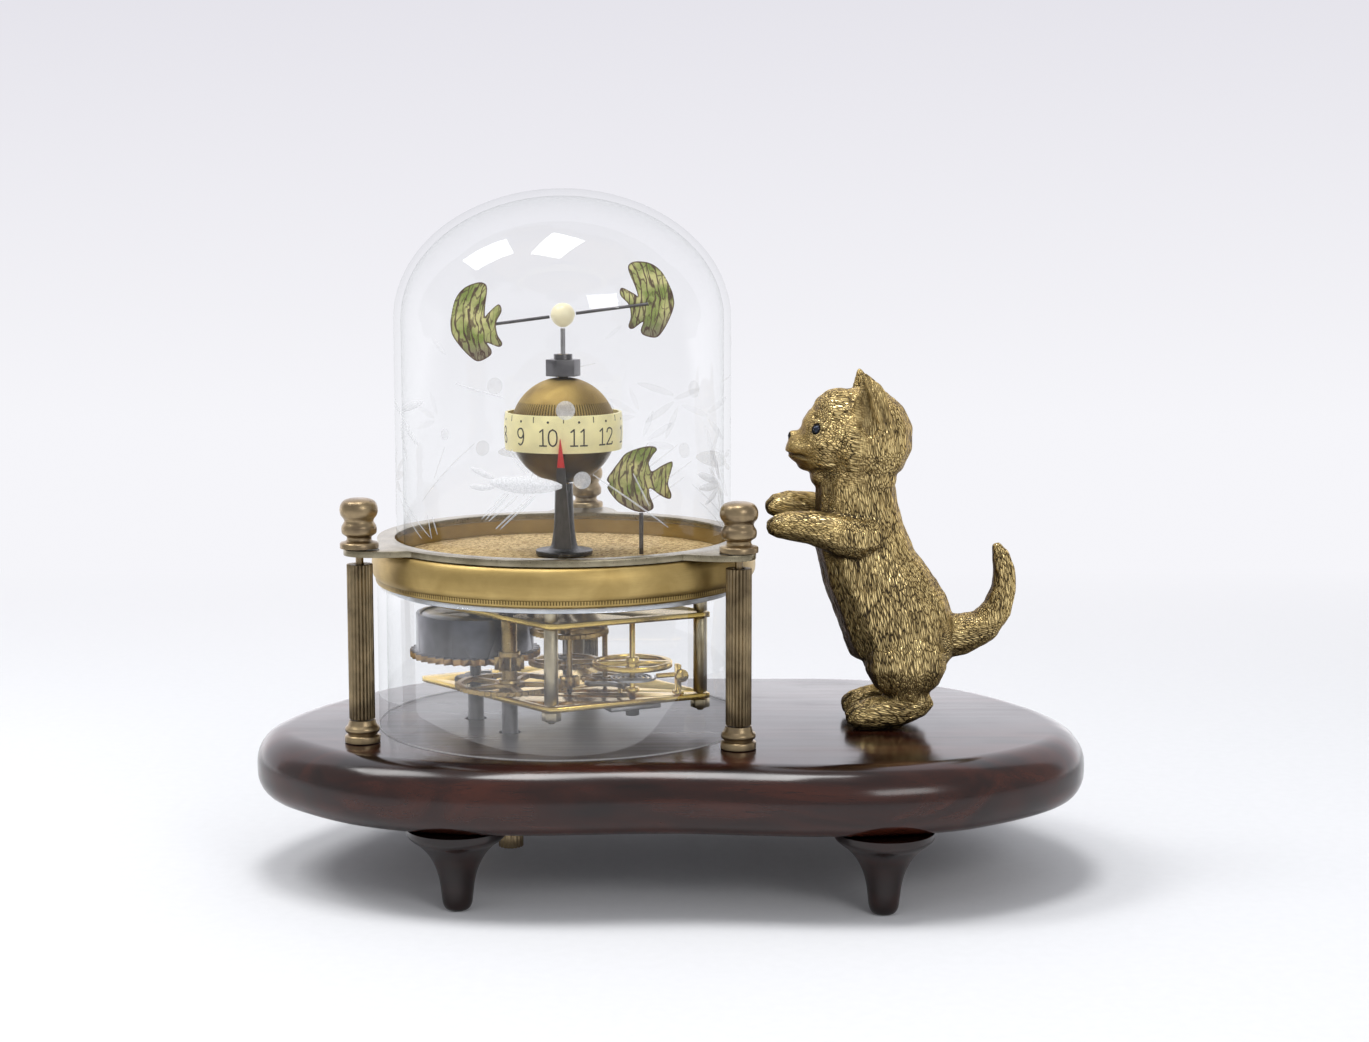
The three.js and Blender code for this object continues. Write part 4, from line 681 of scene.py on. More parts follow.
@dataclass(frozen=True)
class FishPaint(Finish):
    """Green fish with yellow patches, brown brush lines bowed to the nose, a dusky belly and a dark edge."""

    centre: tuple[float, float, float]
    nose: float
    name: str = "fish_paint"
    green: Colour = (0.25, 0.32, 0.06)
    yellow: Colour = (0.72, 0.68, 0.29)
    brown: Colour = (0.075, 0.026, 0.017)
    dusk: Colour = (0.2, 0.165, 0.13)
    pitch: float = 1.75 * MM
    bow: float = 24.0

    def lines(self, bench: Workbench, along: bpy.types.NodeSocket, lean: float,
              scale: float, span: tuple[float, float]) -> bpy.types.NodeSocket:
        """Brush lines that wander and swell a little.

        Args:
            bench: The material in hand.
            along: Distance across the lines.
            lean: How far the lines wander, in turns.
            scale: Crowding of the wander.
            span: Where a line starts and is full, from the middle of a gap to the middle of a line.

        Returns:
            1 on a line and 0 between lines.
        """
        sway = bench.noise(bench.place((1.0, 1.0, 0.4), Vector(self.centre)), scale, 2.0, 0.5)
        uneven = bench.noise(bench.place(), 420.0, 2.0)
        swell = bench.sum("MULTIPLY", bench.sum("SUBTRACT", uneven, 0.5), 0.9)
        phase = bench.line(sway, TAU * lean, bench.sum("MULTIPLY", along, TAU / self.pitch))
        return bench.step(bench.sum("ADD", bench.sum("SINE", phase), swell), *span)

    def lay(self, bench: Workbench) -> None:
        """Lay on the ground colours, brush lines and dark edge.

        Args:
            bench: The material in hand.
        """
        spot = bench.place(centre=Vector(self.centre))
        axes = bench.axes(spot)
        bowed = bench.line(bench.sum("MULTIPLY", axes["Z"], axes["Z"]), self.bow,
                           bench.sum("MULTIPLY", axes["X"], self.nose))
        slanted = bench.line(axes["Z"], 0.3, bench.sum("MULTIPLY", bowed, 0.6))
        strong = self.lines(bench, bowed, 2.4, 260.0, (0.55, 0.9))
        fine = bench.sum("MULTIPLY", self.lines(bench, slanted, 3.6, 340.0, (0.68, 1.0)), 0.85)
        stripes = bench.sum("MULTIPLY", bench.sum("MAXIMUM", strong, fine), 0.92)
        patch = bench.noise(bench.place(), 190.0, 3.0)
        ground = bench.ramp(patch, (0.38, self.green), (0.62, self.yellow))
        low = bench.line(axes["Z"], -110.0, patch)
        dusky = bench.sum("MULTIPLY", bench.step(low, 0.85, 1.5), 0.8)
        striped = bench.blend(stripes, bench.blend(dusky, ground, self.dusk), self.brown)
        rim = bench.step(bench.stored("rim"), 0.4, 0.9)
        bench.set(Base_Color=bench.blend(rim, striped, self.brown), Roughness=0.4)
        bench.relief(bench.noise(spot, 1100.0, 3.0), 0.08 * MM)


@dataclass(frozen=True)
class FurBronze(Finish):
    """Gold bronze chased with short strokes of fur, rubbed bright on the strokes and dark between them."""

    eyes: tuple[Vector, ...]
    nose: Vector
    size: float
    name: str = "fur_bronze"
    gold: Colour = (0.92, 0.71, 0.33)
    mid: Colour = (0.42, 0.3, 0.12)
    dark: Colour = (0.042, 0.028, 0.0135)
    slant: Colour = (0.3, 0.23, 0.12)
    eye: Colour = (0.035, 0.042, 0.06)
    black: Colour = (0.006, 0.006, 0.007)
    strokes_per_m: float = 1800.0
    stroke_length: float = 7.0
    # Share of the rubbed wear and painted highlight on open, rounded parts.
    rub: float = 0.2
    ridge: float = 0.2
    eye_half: tuple[float, float, float] = (1.4, 2.4, 1.75)
    pad_half: tuple[float, float, float] = (1.3, 2.0, 1.2)

    def oval(self, bench: Workbench, half: tuple[float, float, float], centre: Vector,
             turn: tuple[float, float, float] = (0.0, 0.0, 0.0)) -> bpy.types.NodeSocket:
        """An egg-shaped spot of the face.

        Args:
            bench: The material in hand.
            half: Its half sizes in the figure's set-out.
            centre: Its middle.
            turn: Its rotation in radians.

        Returns:
            1 at the middle, falling to 0 at the edge.
        """
        reach = tuple(1 / (part * self.size) for part in half)
        return bench.near(bench.place(reach, centre, turn))

    def strokes(self, bench: Workbench, scale: tuple[float, float, float],
                turn: float) -> bpy.types.NodeSocket:
        """Long rounded strokes laid one way.

        Args:
            bench: The material in hand.
            scale: Crowding of the strokes along each axis.
            turn: Tilt about Y in radians.

        Returns:
            Height of the strokes from 0 between them to 1 on top.
        """
        spot = bench.place(scale, turn=(0.0, turn, 0.0))
        tuft = bench.step(bench.cells(spot, self.strokes_per_m, True).outputs["Distance"], 0.0, 0.24)
        tone = bench.axes(bench.cells(spot, self.strokes_per_m).outputs["Color"])["X"]
        return bench.line(bench.sum("SUBTRACT", tone, 0.5), 0.3, tuft)

    def lay(self, bench: Workbench) -> None:
        """Lay on the fur, eyes and nose.

        Args:
            bench: The material in hand.
        """
        long_way = 1 / self.stroke_length
        upright = self.strokes(bench, (1.0, 1.0, long_way), -0.16)
        level = self.strokes(bench, (long_way, 1.0, 1.0), 0.22)
        fur = bench.line(bench.stored("lie"), bench.sum("SUBTRACT", level, upright), upright)
        patches = bench.noise(bench.place(), 140.0, 4.0)
        smooth = bench.noise(bench.place(), 900.0, 3.0)
        bare = bench.stored("bare")
        kept = bench.sum("MULTIPLY", fur, bench.sum("SUBTRACT", 1.0, bare))
        rubbed = bench.sum("MULTIPLY", bare, bench.line(smooth, 0.7, 0.1))
        drift = bench.sum("MULTIPLY", bench.sum("SUBTRACT", patches, 0.55), 0.8)
        ridges = bench.sum("MULTIPLY", bench.stored("tuft"), self.ridge)
        height = bench.sum("ADD", bench.sum("ADD", kept, rubbed), bench.sum("ADD", drift, ridges))
        # Rubbed wear and painted highlight: open, rounded parts are lifted towards gold.
        worn = bench.line(bench.stored("rub"), self.rub, height)
        colour = bench.ramp(worn, (0.0, self.dark), (0.4, self.mid), (1.0, self.gold))
        # Painted shade: darker in recesses, creases and where the skin faces down or forward.
        sunk = bench.blend(bench.stored("painted_shade"), colour, self.dark)
        gloss = bench.sum("SUBTRACT", 0.47, bench.sum("MULTIPLY", height, 0.2))
        shape = height
        for centre in self.eyes:
            side = 1.0 if centre.y > self.nose.y else -1.0
            ball = self.oval(bench, self.eye_half, centre, (0.0, 0.45, 0.35 * side))
            sunk = bench.blend(bench.step(ball, 0.0, 0.12), sunk, self.black)
            sunk = bench.blend(bench.step(ball, 0.32, 0.4), sunk, self.eye)
            shape = bench.sum("MULTIPLY", shape, bench.step(ball, 0.12, 0.0))
            gloss = bench.sum("SUBTRACT", gloss, bench.sum("MULTIPLY", bench.step(ball, 0.2, 0.3), 0.32))
        pad = self.oval(bench, self.pad_half, self.nose)
        sunk = bench.blend(bench.step(pad, 0.0, 0.2), sunk, self.black)
        bench.set(Base_Color=sunk, Metallic=0.9, Roughness=gloss, Specular_Tint=self.slant)
        bench.set(Coat_Weight=0.2, Coat_Roughness=0.3, Coat_IOR=1.5)
        bench.relief(shape, 0.3 * MM, 0.7)


@dataclass(frozen=True)
class Backdrop(Finish):
    """White paper: the floor keeps its shadows; the rise behind glows white, with painted shade growing
    towards the top and a painted brightening where metal and glass mirror it.
    """

    name: str = "white_paper"
    paper: Colour = (0.86, 0.865, 0.885)
    rise: tuple[tuple[float, Colour], ...] = (
        (0.06, (0.92, 0.918, 0.955)), (0.22, (0.885, 0.88, 0.92)), (0.74, (0.79, 0.78, 0.835)))
    rise_height: float = 0.5
    glow_from: tuple[float, float] = (0.15, 0.55)
    mirror_gain: float = 0.85

    def lay(self, bench: Workbench) -> None:
        """Lay on the paper and its glow.

        Args:
            bench: The material in hand.
        """
        fibre = bench.noise(bench.place(), 300.0, 3.0)
        dull = tuple(0.98 * part for part in self.paper)
        bench.set(Base_Color=bench.ramp(fibre, (0.3, dull), (0.7, self.paper)))
        bench.set(Roughness=0.9, Specular_IOR_Level=0.1)
        spot = bench.axes(bench.place())
        glow = bench.node(NodeName.EMISSION)
        rays = bench.node(NodeName.RAYS).outputs
        height = bench.sum("MULTIPLY", spot["Z"], 1 / self.rise_height)
        # Painted shade: the glow dims towards the top.
        bench.feed(glow.inputs["Color"], bench.ramp(height, *self.rise))
        # Painted reflection: glossy rays see the glow brighter by the mirror gain.
        bench.feed(glow.inputs["Strength"], bench.line(rays["Is Glossy Ray"], self.mirror_gain, 1.0))
        sight = bench.sum("ADD", rays["Is Camera Ray"], bench.sum(
            "ADD", rays["Is Glossy Ray"], rays["Is Transmission Ray"]))
        sight.node.use_clamp = True
        behind = bench.sum("MULTIPLY", sight, bench.step(spot["Y"], *self.glow_from))
        bench.mix(behind, bench.shader.outputs["BSDF"], glow.outputs["Emission"])


def flowing(points: Sequence[Sequence[float]], per_span: int = 6, closed: bool = False) -> list[Vector]:
    """Places along a smooth curve through the given points.

    Args:
        points: Points in two or three dimensions.
        per_span: Steps between two points.
        closed: True if the curve runs back to its start.

    Returns:
        The places in order; an open curve keeps both ends.
    """
    knots = [Vector(point) for point in points]
    count = len(knots)
    pick = (lambda i: knots[i % count]) if closed else (lambda i: knots[min(max(i, 0), count - 1)])
    places: list[Vector] = []
    for i in range(count if closed else count - 1):
        a, b, c, d = (pick(i + k) for k in (-1, 0, 1, 2))
        for k in range(per_span):
            t = k / per_span
            places.append(0.5 * (2 * b + (c - a) * t + (2 * a - 5 * b + 4 * c - d) * t * t
                                 + (3 * b - 3 * c + d - a) * t ** 3))
    return places if closed else places + [knots[-1].copy()]


def rising(value: float, low: float, high: float) -> float:
    """A share that grows from 0 at low to 1 at high."""
    return min(max((value - low) / (high - low), 0.0), 1.0)


def hump(value: float, half: float) -> float:
    """A rounded rise that is 1 at 0 and falls to 0 at half to either side."""
    return max(1 - (value / half) ** 2, 0.0)


def sized(shares: Iterable[Sequence[float]], wide: float, low: float, tall: float) -> Profile:
    """A profile drawn in shares, at full size.

    Args:
        shares: Shares of the radius and of the height, held between 0 and 1.
        wide: The full radius.
        low: Where the height begins.
        tall: The full height.

    Returns:
        Radii and heights.
    """
    return [(rising(p[0], 0.0, 1.0) * wide, low + rising(p[1], 0.0, 1.0) * tall) for p in shares]


def bend(corner: tuple[float, float], radius: float, start: float, end: float, steps: int = 5) -> Profile:
    """An arc of a profile.

    Args:
        corner: Centre of the arc.
        radius: Its radius.
        start: First angle in degrees.
        end: Last angle in degrees.
        steps: Number of chords.

    Returns:
        The arc's points.
    """
    angles = [math.radians(start + (end - start) * i / steps) for i in range(steps + 1)]
    return [(corner[0] + radius * math.cos(a), corner[1] + radius * math.sin(a)) for a in angles]


def spun(profile: Profile, centre: Vector, steps: int = 96) -> bmesh.types.BMesh:
    """Turn a profile of radii and heights about an upright axis.

    Args:
        profile: Points from axis to axis, or a ring whose last point is its first.
        centre: A point on the axis.
        steps: Sectors in the full turn.

    Returns:
        The closed shape.
    """
    bm = bmesh.new()
    ring = profile[0] == profile[-1]
    shown = profile[:-1] if ring else profile
    verts = [bm.verts.new((centre.x + r, centre.y, z)) for r, z in shown]
    edges = [bm.edges.new(pair) for pair in zip(verts, verts[1:])]
    if ring:
        edges.append(bm.edges.new((verts[-1], verts[0])))
    bmesh.ops.spin(bm, geom=verts + edges, cent=(centre.x, centre.y, 0), axis=(0, 0, 1),
                   angle=TAU, steps=steps, use_merge=True)
    bmesh.ops.remove_doubles(bm, verts=bm.verts, dist=MERGE)
    bmesh.ops.dissolve_degenerate(bm, edges=bm.edges, dist=0.1 * MERGE)
    bmesh.ops.recalc_face_normals(bm, faces=bm.faces)
    return bm


def new_points(made: dict[str, list]) -> list[bmesh.types.BMVert]:
    """The vertices among the results of an extrusion."""
    return [item for item in made["geom"] if isinstance(item, bmesh.types.BMVert)]


def raised(outline: Iterable[Sequence[float]], low: float, high: float) -> bmesh.types.BMesh:
    """Extrude a flat outline between two heights.

    Args:
        outline: Corners in order.
        low: Height of the underside.
        high: Height of the top.

    Returns:
        The closed shape.
    """
    bm = bmesh.new()
    face = bm.faces.new([bm.verts.new((point[0], point[1], low)) for point in outline])
    tops = new_points(bmesh.ops.extrude_face_region(bm, geom=[face]))
    bmesh.ops.translate(bm, vec=(0, 0, high - low), verts=tops)
    bmesh.ops.recalc_face_normals(bm, faces=bm.faces)
    return bm


def drill(spot: Vector, size: float, low: float, high: float, steps: int = 40) -> bmesh.types.BMesh:
    """A cutter for an upright round hole that passes through a piece.

    Args:
        spot: A point on the hole's axis.
        size: Radius of the hole.
        low: Underside of the piece.
        high: Top of the piece.
        steps: Sides of the hole.

    Returns:
        The cutter.
    """
    return spun([(0, low - MM), (size, low - MM), (size, high + MM), (0, high + MM)], spot, steps)


def eased(bm: bmesh.types.BMesh, width: float, angle: float = 40.0, segments: int = 2) -> bmesh.types.BMesh:
    """Round the sharp edges of a shape.

    Args:
        bm: The shape.
        width: Width of the rounding.
        angle: Edges bent more than this many degrees are rounded.
        segments: Facets across the rounding.

    Returns:
        The same shape.
    """
    sharp = [edge for edge in bm.edges
             if len(edge.link_faces) == 2 and edge.calc_face_angle(0.0) > math.radians(angle)]
    bmesh.ops.bevel(bm, geom=sharp, offset=width, affect="EDGES", segments=segments, profile=0.5,
                    material=-1, clamp_overlap=True)
    bmesh.ops.dissolve_degenerate(bm, edges=list(bm.edges), dist=10 * MERGE)
    return bm


def cad_copy(node: str) -> bmesh.types.BMesh:
    """A merged copy of a CAD node with its flat facets joined.

    Args:
        node: The CAD node.

    Returns:
        The shape.
    """
    bm = bmesh.new()
    bm.from_mesh(frame["nodes"][node].data)
    bmesh.ops.remove_doubles(bm, verts=bm.verts, dist=MERGE)
    bmesh.ops.dissolve_limit(bm, angle_limit=math.radians(0.6), verts=bm.verts, edges=bm.edges)
    return bm


def middle(node: str) -> Vector:
    """Centre of a CAD node's box."""
    low, high = (Vector(corner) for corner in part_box(node))
    return (low + high) / 2


def heights(node: str) -> tuple[float, float]:
    """Lowest and highest point of a CAD node."""
    low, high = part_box(node)
    return low[2], high[2]


def radius(node: str) -> float:
    """Half the widest plan size of a CAD node."""
    low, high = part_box(node)
    return max(high[0] - low[0], high[1] - low[1]) / 2


def body_of_node(node: str) -> str:
    """The CAD body that holds a node."""
    bodies = frame["record"]["behaviour"]["bodies"]
    return next(name for name, nodes in bodies.items() if node in nodes)


def store(mesh: bpy.types.Mesh, name: str, values: Sequence[float]) -> None:
    """Keep one value for each vertex on a mesh."""
    layer = mesh.attributes.new(name, "FLOAT", "POINT")
    layer.data.foreach_set("value", list(values))


def meshed(bm: bmesh.types.BMesh, name: str) -> bpy.types.Mesh:
    """A new mesh of a shape.

    Args:
        bm: The shape, which is freed.
        name: Name of the mesh.

    Returns:
        The mesh.
    """
    mesh = bpy.data.meshes.new(name)
    bm.to_mesh(mesh)
    bm.free()
    return mesh


def linked(name: str, data: bpy.types.ID) -> bpy.types.Object:
    """A new object in the scene.

    Args:
        name: Name of the object.
        data: The mesh, lamp or camera that it shows.

    Returns:
        The object.
    """
    thing = bpy.data.objects.new(name, data)
    bpy.context.scene.collection.objects.link(thing)
    return thing


def set_down(bm: bmesh.types.BMesh, name: str, finish: bpy.types.Material, node: str,
             stands_for: bool = True, smooth: float = 40.0) -> bpy.types.Object:
    """Make a piece of a shape, dress it and let it ride with its CAD body.

    Args:
        bm: The shape, which is freed.
        name: Name of the piece.
        finish: Its material.
        node: The CAD node whose body carries it and which it stands in for.
        stands_for: True if it is shown in place of that node.
        smooth: Edges bent less than this many degrees are shaded smooth.

    Returns:
        The new object.
    """
    mesh = meshed(bm, name)
    mesh.shade_smooth()
    mesh.set_sharp_from_angle(angle=math.radians(smooth))
    mesh.materials.append(finish)
    piece = linked(name, mesh)
    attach(piece, body_of_node(node))
    if stands_for:
        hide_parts(node)
    LOG.info("%s: %d faces", name, len(mesh.polygons))
    return piece


def thickened(sheet: bmesh.types.BMesh, thick: float) -> None:
    """Turn every island of a flat sheet into a closed shell.

    Args:
        sheet: The sheet, whose points sink to make the under side while their copies stay above.
        thick: How far the under side lies below Z = 0.
    """
    under = list(sheet.verts)
    bmesh.ops.extrude_face_region(sheet, geom=list(sheet.faces))
    for vert in under:
        vert.co.z = -thick
    bmesh.ops.recalc_face_normals(sheet, faces=sheet.faces)


def joined(shapes: Iterable[bmesh.types.BMesh]) -> bmesh.types.BMesh:
    """One shape that holds several.

    Args:
        shapes: The shapes, which are freed.

    Returns:
        The whole.
    """
    whole = bmesh.new()
    for shape in shapes:
        mesh = meshed(shape, "part")
        whole.from_mesh(mesh)
        bpy.data.meshes.remove(mesh)
    return whole


def carved(bm: bmesh.types.BMesh, cutters: Sequence[bmesh.types.BMesh]) -> bmesh.types.BMesh:
    """A shape with other shapes cut out of it.

    Args:
        bm: The shape, which is freed.
        cutters: The shapes to take away, which are freed.

    Returns:
        The cut shape.
    """
    body, tool = (linked("cutting", meshed(shape, "cutting")) for shape in (bm, joined(cutters)))
    cut = body.modifiers.new("cut", "BOOLEAN")
    cut.operation = "DIFFERENCE"
    cut.solver = "EXACT"
    cut.object = tool
    done = settled(body)
    for spent in (body, tool):
        bpy.data.objects.remove(spent)
    return done


def settled(piece: bpy.types.Object) -> bmesh.types.BMesh:
    """The shape of an object with its modifiers applied.

    Args:
        piece: The object.

    Returns:
        Its shape.
    """
    bpy.context.view_layer.update()
    graph = bpy.context.evaluated_depsgraph_get()
    mesh = bpy.data.meshes.new_from_object(piece.evaluated_get(graph))
    bm = bmesh.new()
    bm.from_mesh(mesh)
    bpy.data.meshes.remove(mesh)
    return bm


@dataclass
class Finishes:
    """All finishes of the clock, each painted once."""

    axis: Vector
    made: dict[str, bpy.types.Material] = field(default_factory=dict)

    def __post_init__(self) -> None:
        """Paint every finish."""
        ring_foot = heights("bezel_ring")[0]
        band_top = heights("hour_band")[1]
        centre = (self.axis.x, self.axis.y)
        rows = [
            Lacquer(centre=centre, covered=radius("lower_glass")),
            Lacquer("foot_mahogany", (0.02, 0.005, 0.003), (0.009, 0.0025, 0.0016), (0.003, 0.001, 0.0008)),
            ClearGlass(),
            ClearGlass("cylinder_glass", mirror_least=0.1),
            Frost(),
            Sand(),
            Metal("aged_brass", (0.37, 0.285, 0.165), (0.115, 0.086, 0.052), 0.42, Grain.DRAWN, 0.5),
            Metal("brass", (0.46, 0.35, 0.2), (0.17, 0.125, 0.08), 0.33, Grain.TURNED, 0.5),
            TickedMetal("ring_brass", (0.6, 0.44, 0.18), (0.4, 0.28, 0.1), 0.46, Grain.TURNED, 0.4, 90.0,
                        centre=centre, low=ring_foot + 0.9 * MM, high=ring_foot + 2.1 * MM, ticks=420),
            TickedMetal("ball_brass", (0.44, 0.315, 0.105), (0.25, 0.165, 0.055), 0.58, Grain.TURNED, 0.45,
                        160.0, centre=centre, low=band_top - 0.2 * MM, high=band_top + 2.9 * MM, ticks=104),
            Metal("pale_brass", (0.58, 0.51, 0.36), (0.36, 0.3, 0.19), 0.34, Grain.CAST, 0.4),
            Metal("flange_brass", (0.38, 0.335, 0.235), (0.2, 0.17, 0.11), 0.3, Grain.CAST, 0.45),
            Metal("plate_brass", (0.9, 0.66, 0.2), (0.62, 0.43, 0.12), 0.24, Grain.CAST, 0.35),
            Metal("wheel_brass", (0.52, 0.36, 0.14), (0.2, 0.145, 0.075), 0.3, Grain.CAST, 0.55),
            Metal("bronze", (0.14, 0.1, 0.04), (0.05, 0.038, 0.02), 0.33, Grain.TURNED, 0.5),
            Metal("steel", (0.5, 0.5, 0.51), (0.26, 0.25, 0.25), 0.32, Grain.TURNED, 0.45),
            Metal("dark_steel", (0.17, 0.165, 0.17), (0.07, 0.066, 0.066), 0.36, Grain.TURNED, 0.5),
            RimmedMetal("drum_steel", (0.22, 0.22, 0.235), (0.1, 0.097, 0.104), 0.34, Grain.DRAWN, 0.5,
                        change=heights("barrel")[0] + 1.6 * MM),
            Metal("white_metal", (0.83, 0.86, 0.9), (0.66, 0.69, 0.74), 0.42, Grain.CAST, 0.4),
            Enamel("black_paint", (0.012, 0.012, 0.014), (0.16, 0.15, 0.145), 0.36, 0.17),
            Enamel("cream_enamel", (1.0, 0.9, 0.47), (0.62, 0.5, 0.24), 0.42, 0.04),
            Enamel("numeral_ink", (0.03, 0.022, 0.012), (0.12, 0.09, 0.05), 0.5),
            Enamel("ivory", (1.0, 0.9, 0.6), (0.85, 0.66, 0.36), 0.3, 0.02),
        ]
        for row in rows:
            self.made[row.name] = row.paint()
        LOG.info("%d finishes", len(rows))

    def __getitem__(self, name: str) -> bpy.types.Material:
        """The finish of that name."""
        return self.made[name]


@dataclass
class Base:
    """Kidney-shaped wooden base on turned feet."""

    finishes: Finishes
    top_round: float = 9.5 * MM
    under_round: float = 7 * MM
    round_segments: int = 9
    shaft_hole: float = 3.1 * MM
    ring_slack: float = 0.05 * MM
    outline_steps: int = 4
    foot_steps: int = 64
    foot_curve: Knots = (
        (0.0, 0.0), (0.14, 0.0), (0.24, 0.025), (0.295, 0.09), (0.32, 0.2), (0.355, 0.36), (0.43, 0.52),
        (0.57, 0.68), (0.75, 0.8), (0.9, 0.865), (0.985, 0.915), (1.0, 0.955), (1.0, 1.0))

    def build(self) -> None:
        """Make the board and its feet."""
        set_down(self.board(), "base_board", self.finishes["mahogany"], "wood_base", smooth=30)
        for corner in ("front_left", "front_right", "back_left", "back_right"):
            node = f"foot_{corner}"
            set_down(self.foot(node), f"turned_{node}", self.finishes["foot_mahogany"], node, smooth=50)

    def outline(self) -> list[Vector]:
        """The board's plan, read off the CAD node's widest ring and smoothed.

        Returns:
            The corners in order.
        """
        level = heights("wood_base")[0] + self.under_round
        bm = cad_copy("wood_base")
        ring = [vert.co.xy for vert in bm.verts if abs(vert.co.z - level) < self.ring_slack]
        bm.free()
        ring.sort(key=lambda v: math.atan2(v.y, v.x))
        near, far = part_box("wood_base")
        plan = flowing(ring, self.outline_steps, closed=True)
        return [Vector((min(max(p.x, near[0]), far[0]), min(max(p.y, near[1]), far[1]))) for p in plan]

    def board(self) -> bmesh.types.BMesh:
        """The rounded board with its two shaft holes.

        Returns:
            The shape.
        """
        low, high = heights("wood_base")
        bm = raised(self.outline(), low, high)
        for level, size in ((high, self.top_round), (low, self.under_round)):
            rim = [edge for edge in bm.edges if all(abs(v.co.z - level) < 10 * MERGE for v in edge.verts)]
            bmesh.ops.bevel(bm, geom=rim, offset=size, affect="EDGES", segments=self.round_segments,
                            profile=0.5, material=-1, clamp_overlap=False)
        shafts = ("barrel_arbor", "setting_arbor")
        return carved(bm, [drill(middle(shaft), self.shaft_hole, low, high) for shaft in shafts])

    def foot(self, node: str) -> bmesh.types.BMesh:
        """One turned foot: a wide head flaring in to a rounded tip.

        Args:
            node: The CAD node it stands for.

        Returns:
            The shape.
        """
        low, high = heights(node)
        side = sized(flowing(self.foot_curve, 5), radius(node), low, high - low)
        return spun(side + [(0.0, high)], middle(node), self.foot_steps)


@dataclass
class Pillars:
    """Three reeded pillars, each with a collar below and a finial above."""

    finishes: Finishes
    reeds: int = 20
    reed_points: int = 8
    reed_depth: float = 0.42 * MM
    reed_power: float = 0.7
    column_ease: float = 0.12 * MM
    stem: float = 1.05 * MM
    steps: int = 56
    collar_bore: float = 0.28
    collar_curve: Knots = (
        (1.0, 0.0), (1.0, 0.25), (0.97, 0.29), (0.83, 0.34), (0.84, 0.4), (0.95, 0.46), (0.985, 0.56),
        (0.94, 0.68), (0.83, 0.74), (0.8, 0.82), (0.76, 0.9), (0.73, 1.0))
    flange_curve: Knots = ((1.0, 0.0), (1.0, 0.09), (0.94, 0.115))
    knob_curve: Knots = (
        (0.72, 0.135), (0.64, 0.17), (0.66, 0.23), (0.86, 0.285), (0.91, 0.34), (0.9, 0.43), (0.8, 0.5),
        (0.755, 0.545), (0.8, 0.59), (0.93, 0.66), (0.985, 0.75), (0.95, 0.85), (0.8, 0.94), (0.52, 0.985),
        (0.25, 0.997), (0.0, 1.0))

    def build(self) -> None:
        """Make the collars, columns and finials."""
        for side in ("left", "right", "back"):
            for part, shape, finish in (
                ("collar", self.collar, "brass"),
                ("column", self.column, "aged_brass"),
                ("finial", self.finial, "brass"),
            ):
                node = f"pillar_{part}_{side}"
                set_down(shape(node), f"turned_{node}", self.finishes[finish], node, smooth=46)

    def collar(self, node: str) -> bmesh.types.BMesh:
        """Foot collar: a flat ring, a cove and a torus under the column.

        Args:
            node: The CAD node it stands for.

        Returns:
            The shape.
        """
        low, high = heights(node)
        wide = radius(node)
        bore = self.collar_bore * wide
        rim = sized(self.collar_curve, wide, low, high - low)
        return spun([(bore, low)] + rim + [(bore, high), (bore, low)], middle(node), self.steps)

    def column(self, node: str) -> bmesh.types.BMesh:
        """Reeded column: rounded reeds side by side.

        Args:
            node: The CAD node it stands for.

        Returns:
            The shape.
        """
        low, high = heights(node)
        wide = radius(node)
        spot = middle(node)
        count = self.reeds * self.reed_points
        outline = []
        for i in range(count):
            swell = abs(math.sin(math.pi * i / self.reed_points)) ** self.reed_power
            reach = wide - self.reed_depth * (1 - swell)
            turn = TAU * i / count
            outline.append((spot.x + reach * math.cos(turn), spot.y + reach * math.sin(turn)))
        bm = carved(raised(outline, low, high), [drill(spot, ROD_HOLE, low, high)])
        return eased(bm, self.column_ease, 60)

    def finial(self, node: str) -> bmesh.types.BMesh:
        """Tie rod with a flanged, twice-bulged knob on top.

        Args:
            node: The CAD node it stands for.

        Returns:
            The shape.
        """
        low, high = heights(node)
        foot = heights("flange_plate")[1] + SEAT
        rod = [(0.0, low), (self.stem, low), (self.stem, foot)]
        curve = [*self.flange_curve, *flowing(self.knob_curve, 4)]
        return spun(rod + sized(curve, radius(node), foot, high - foot), middle(node), self.steps)


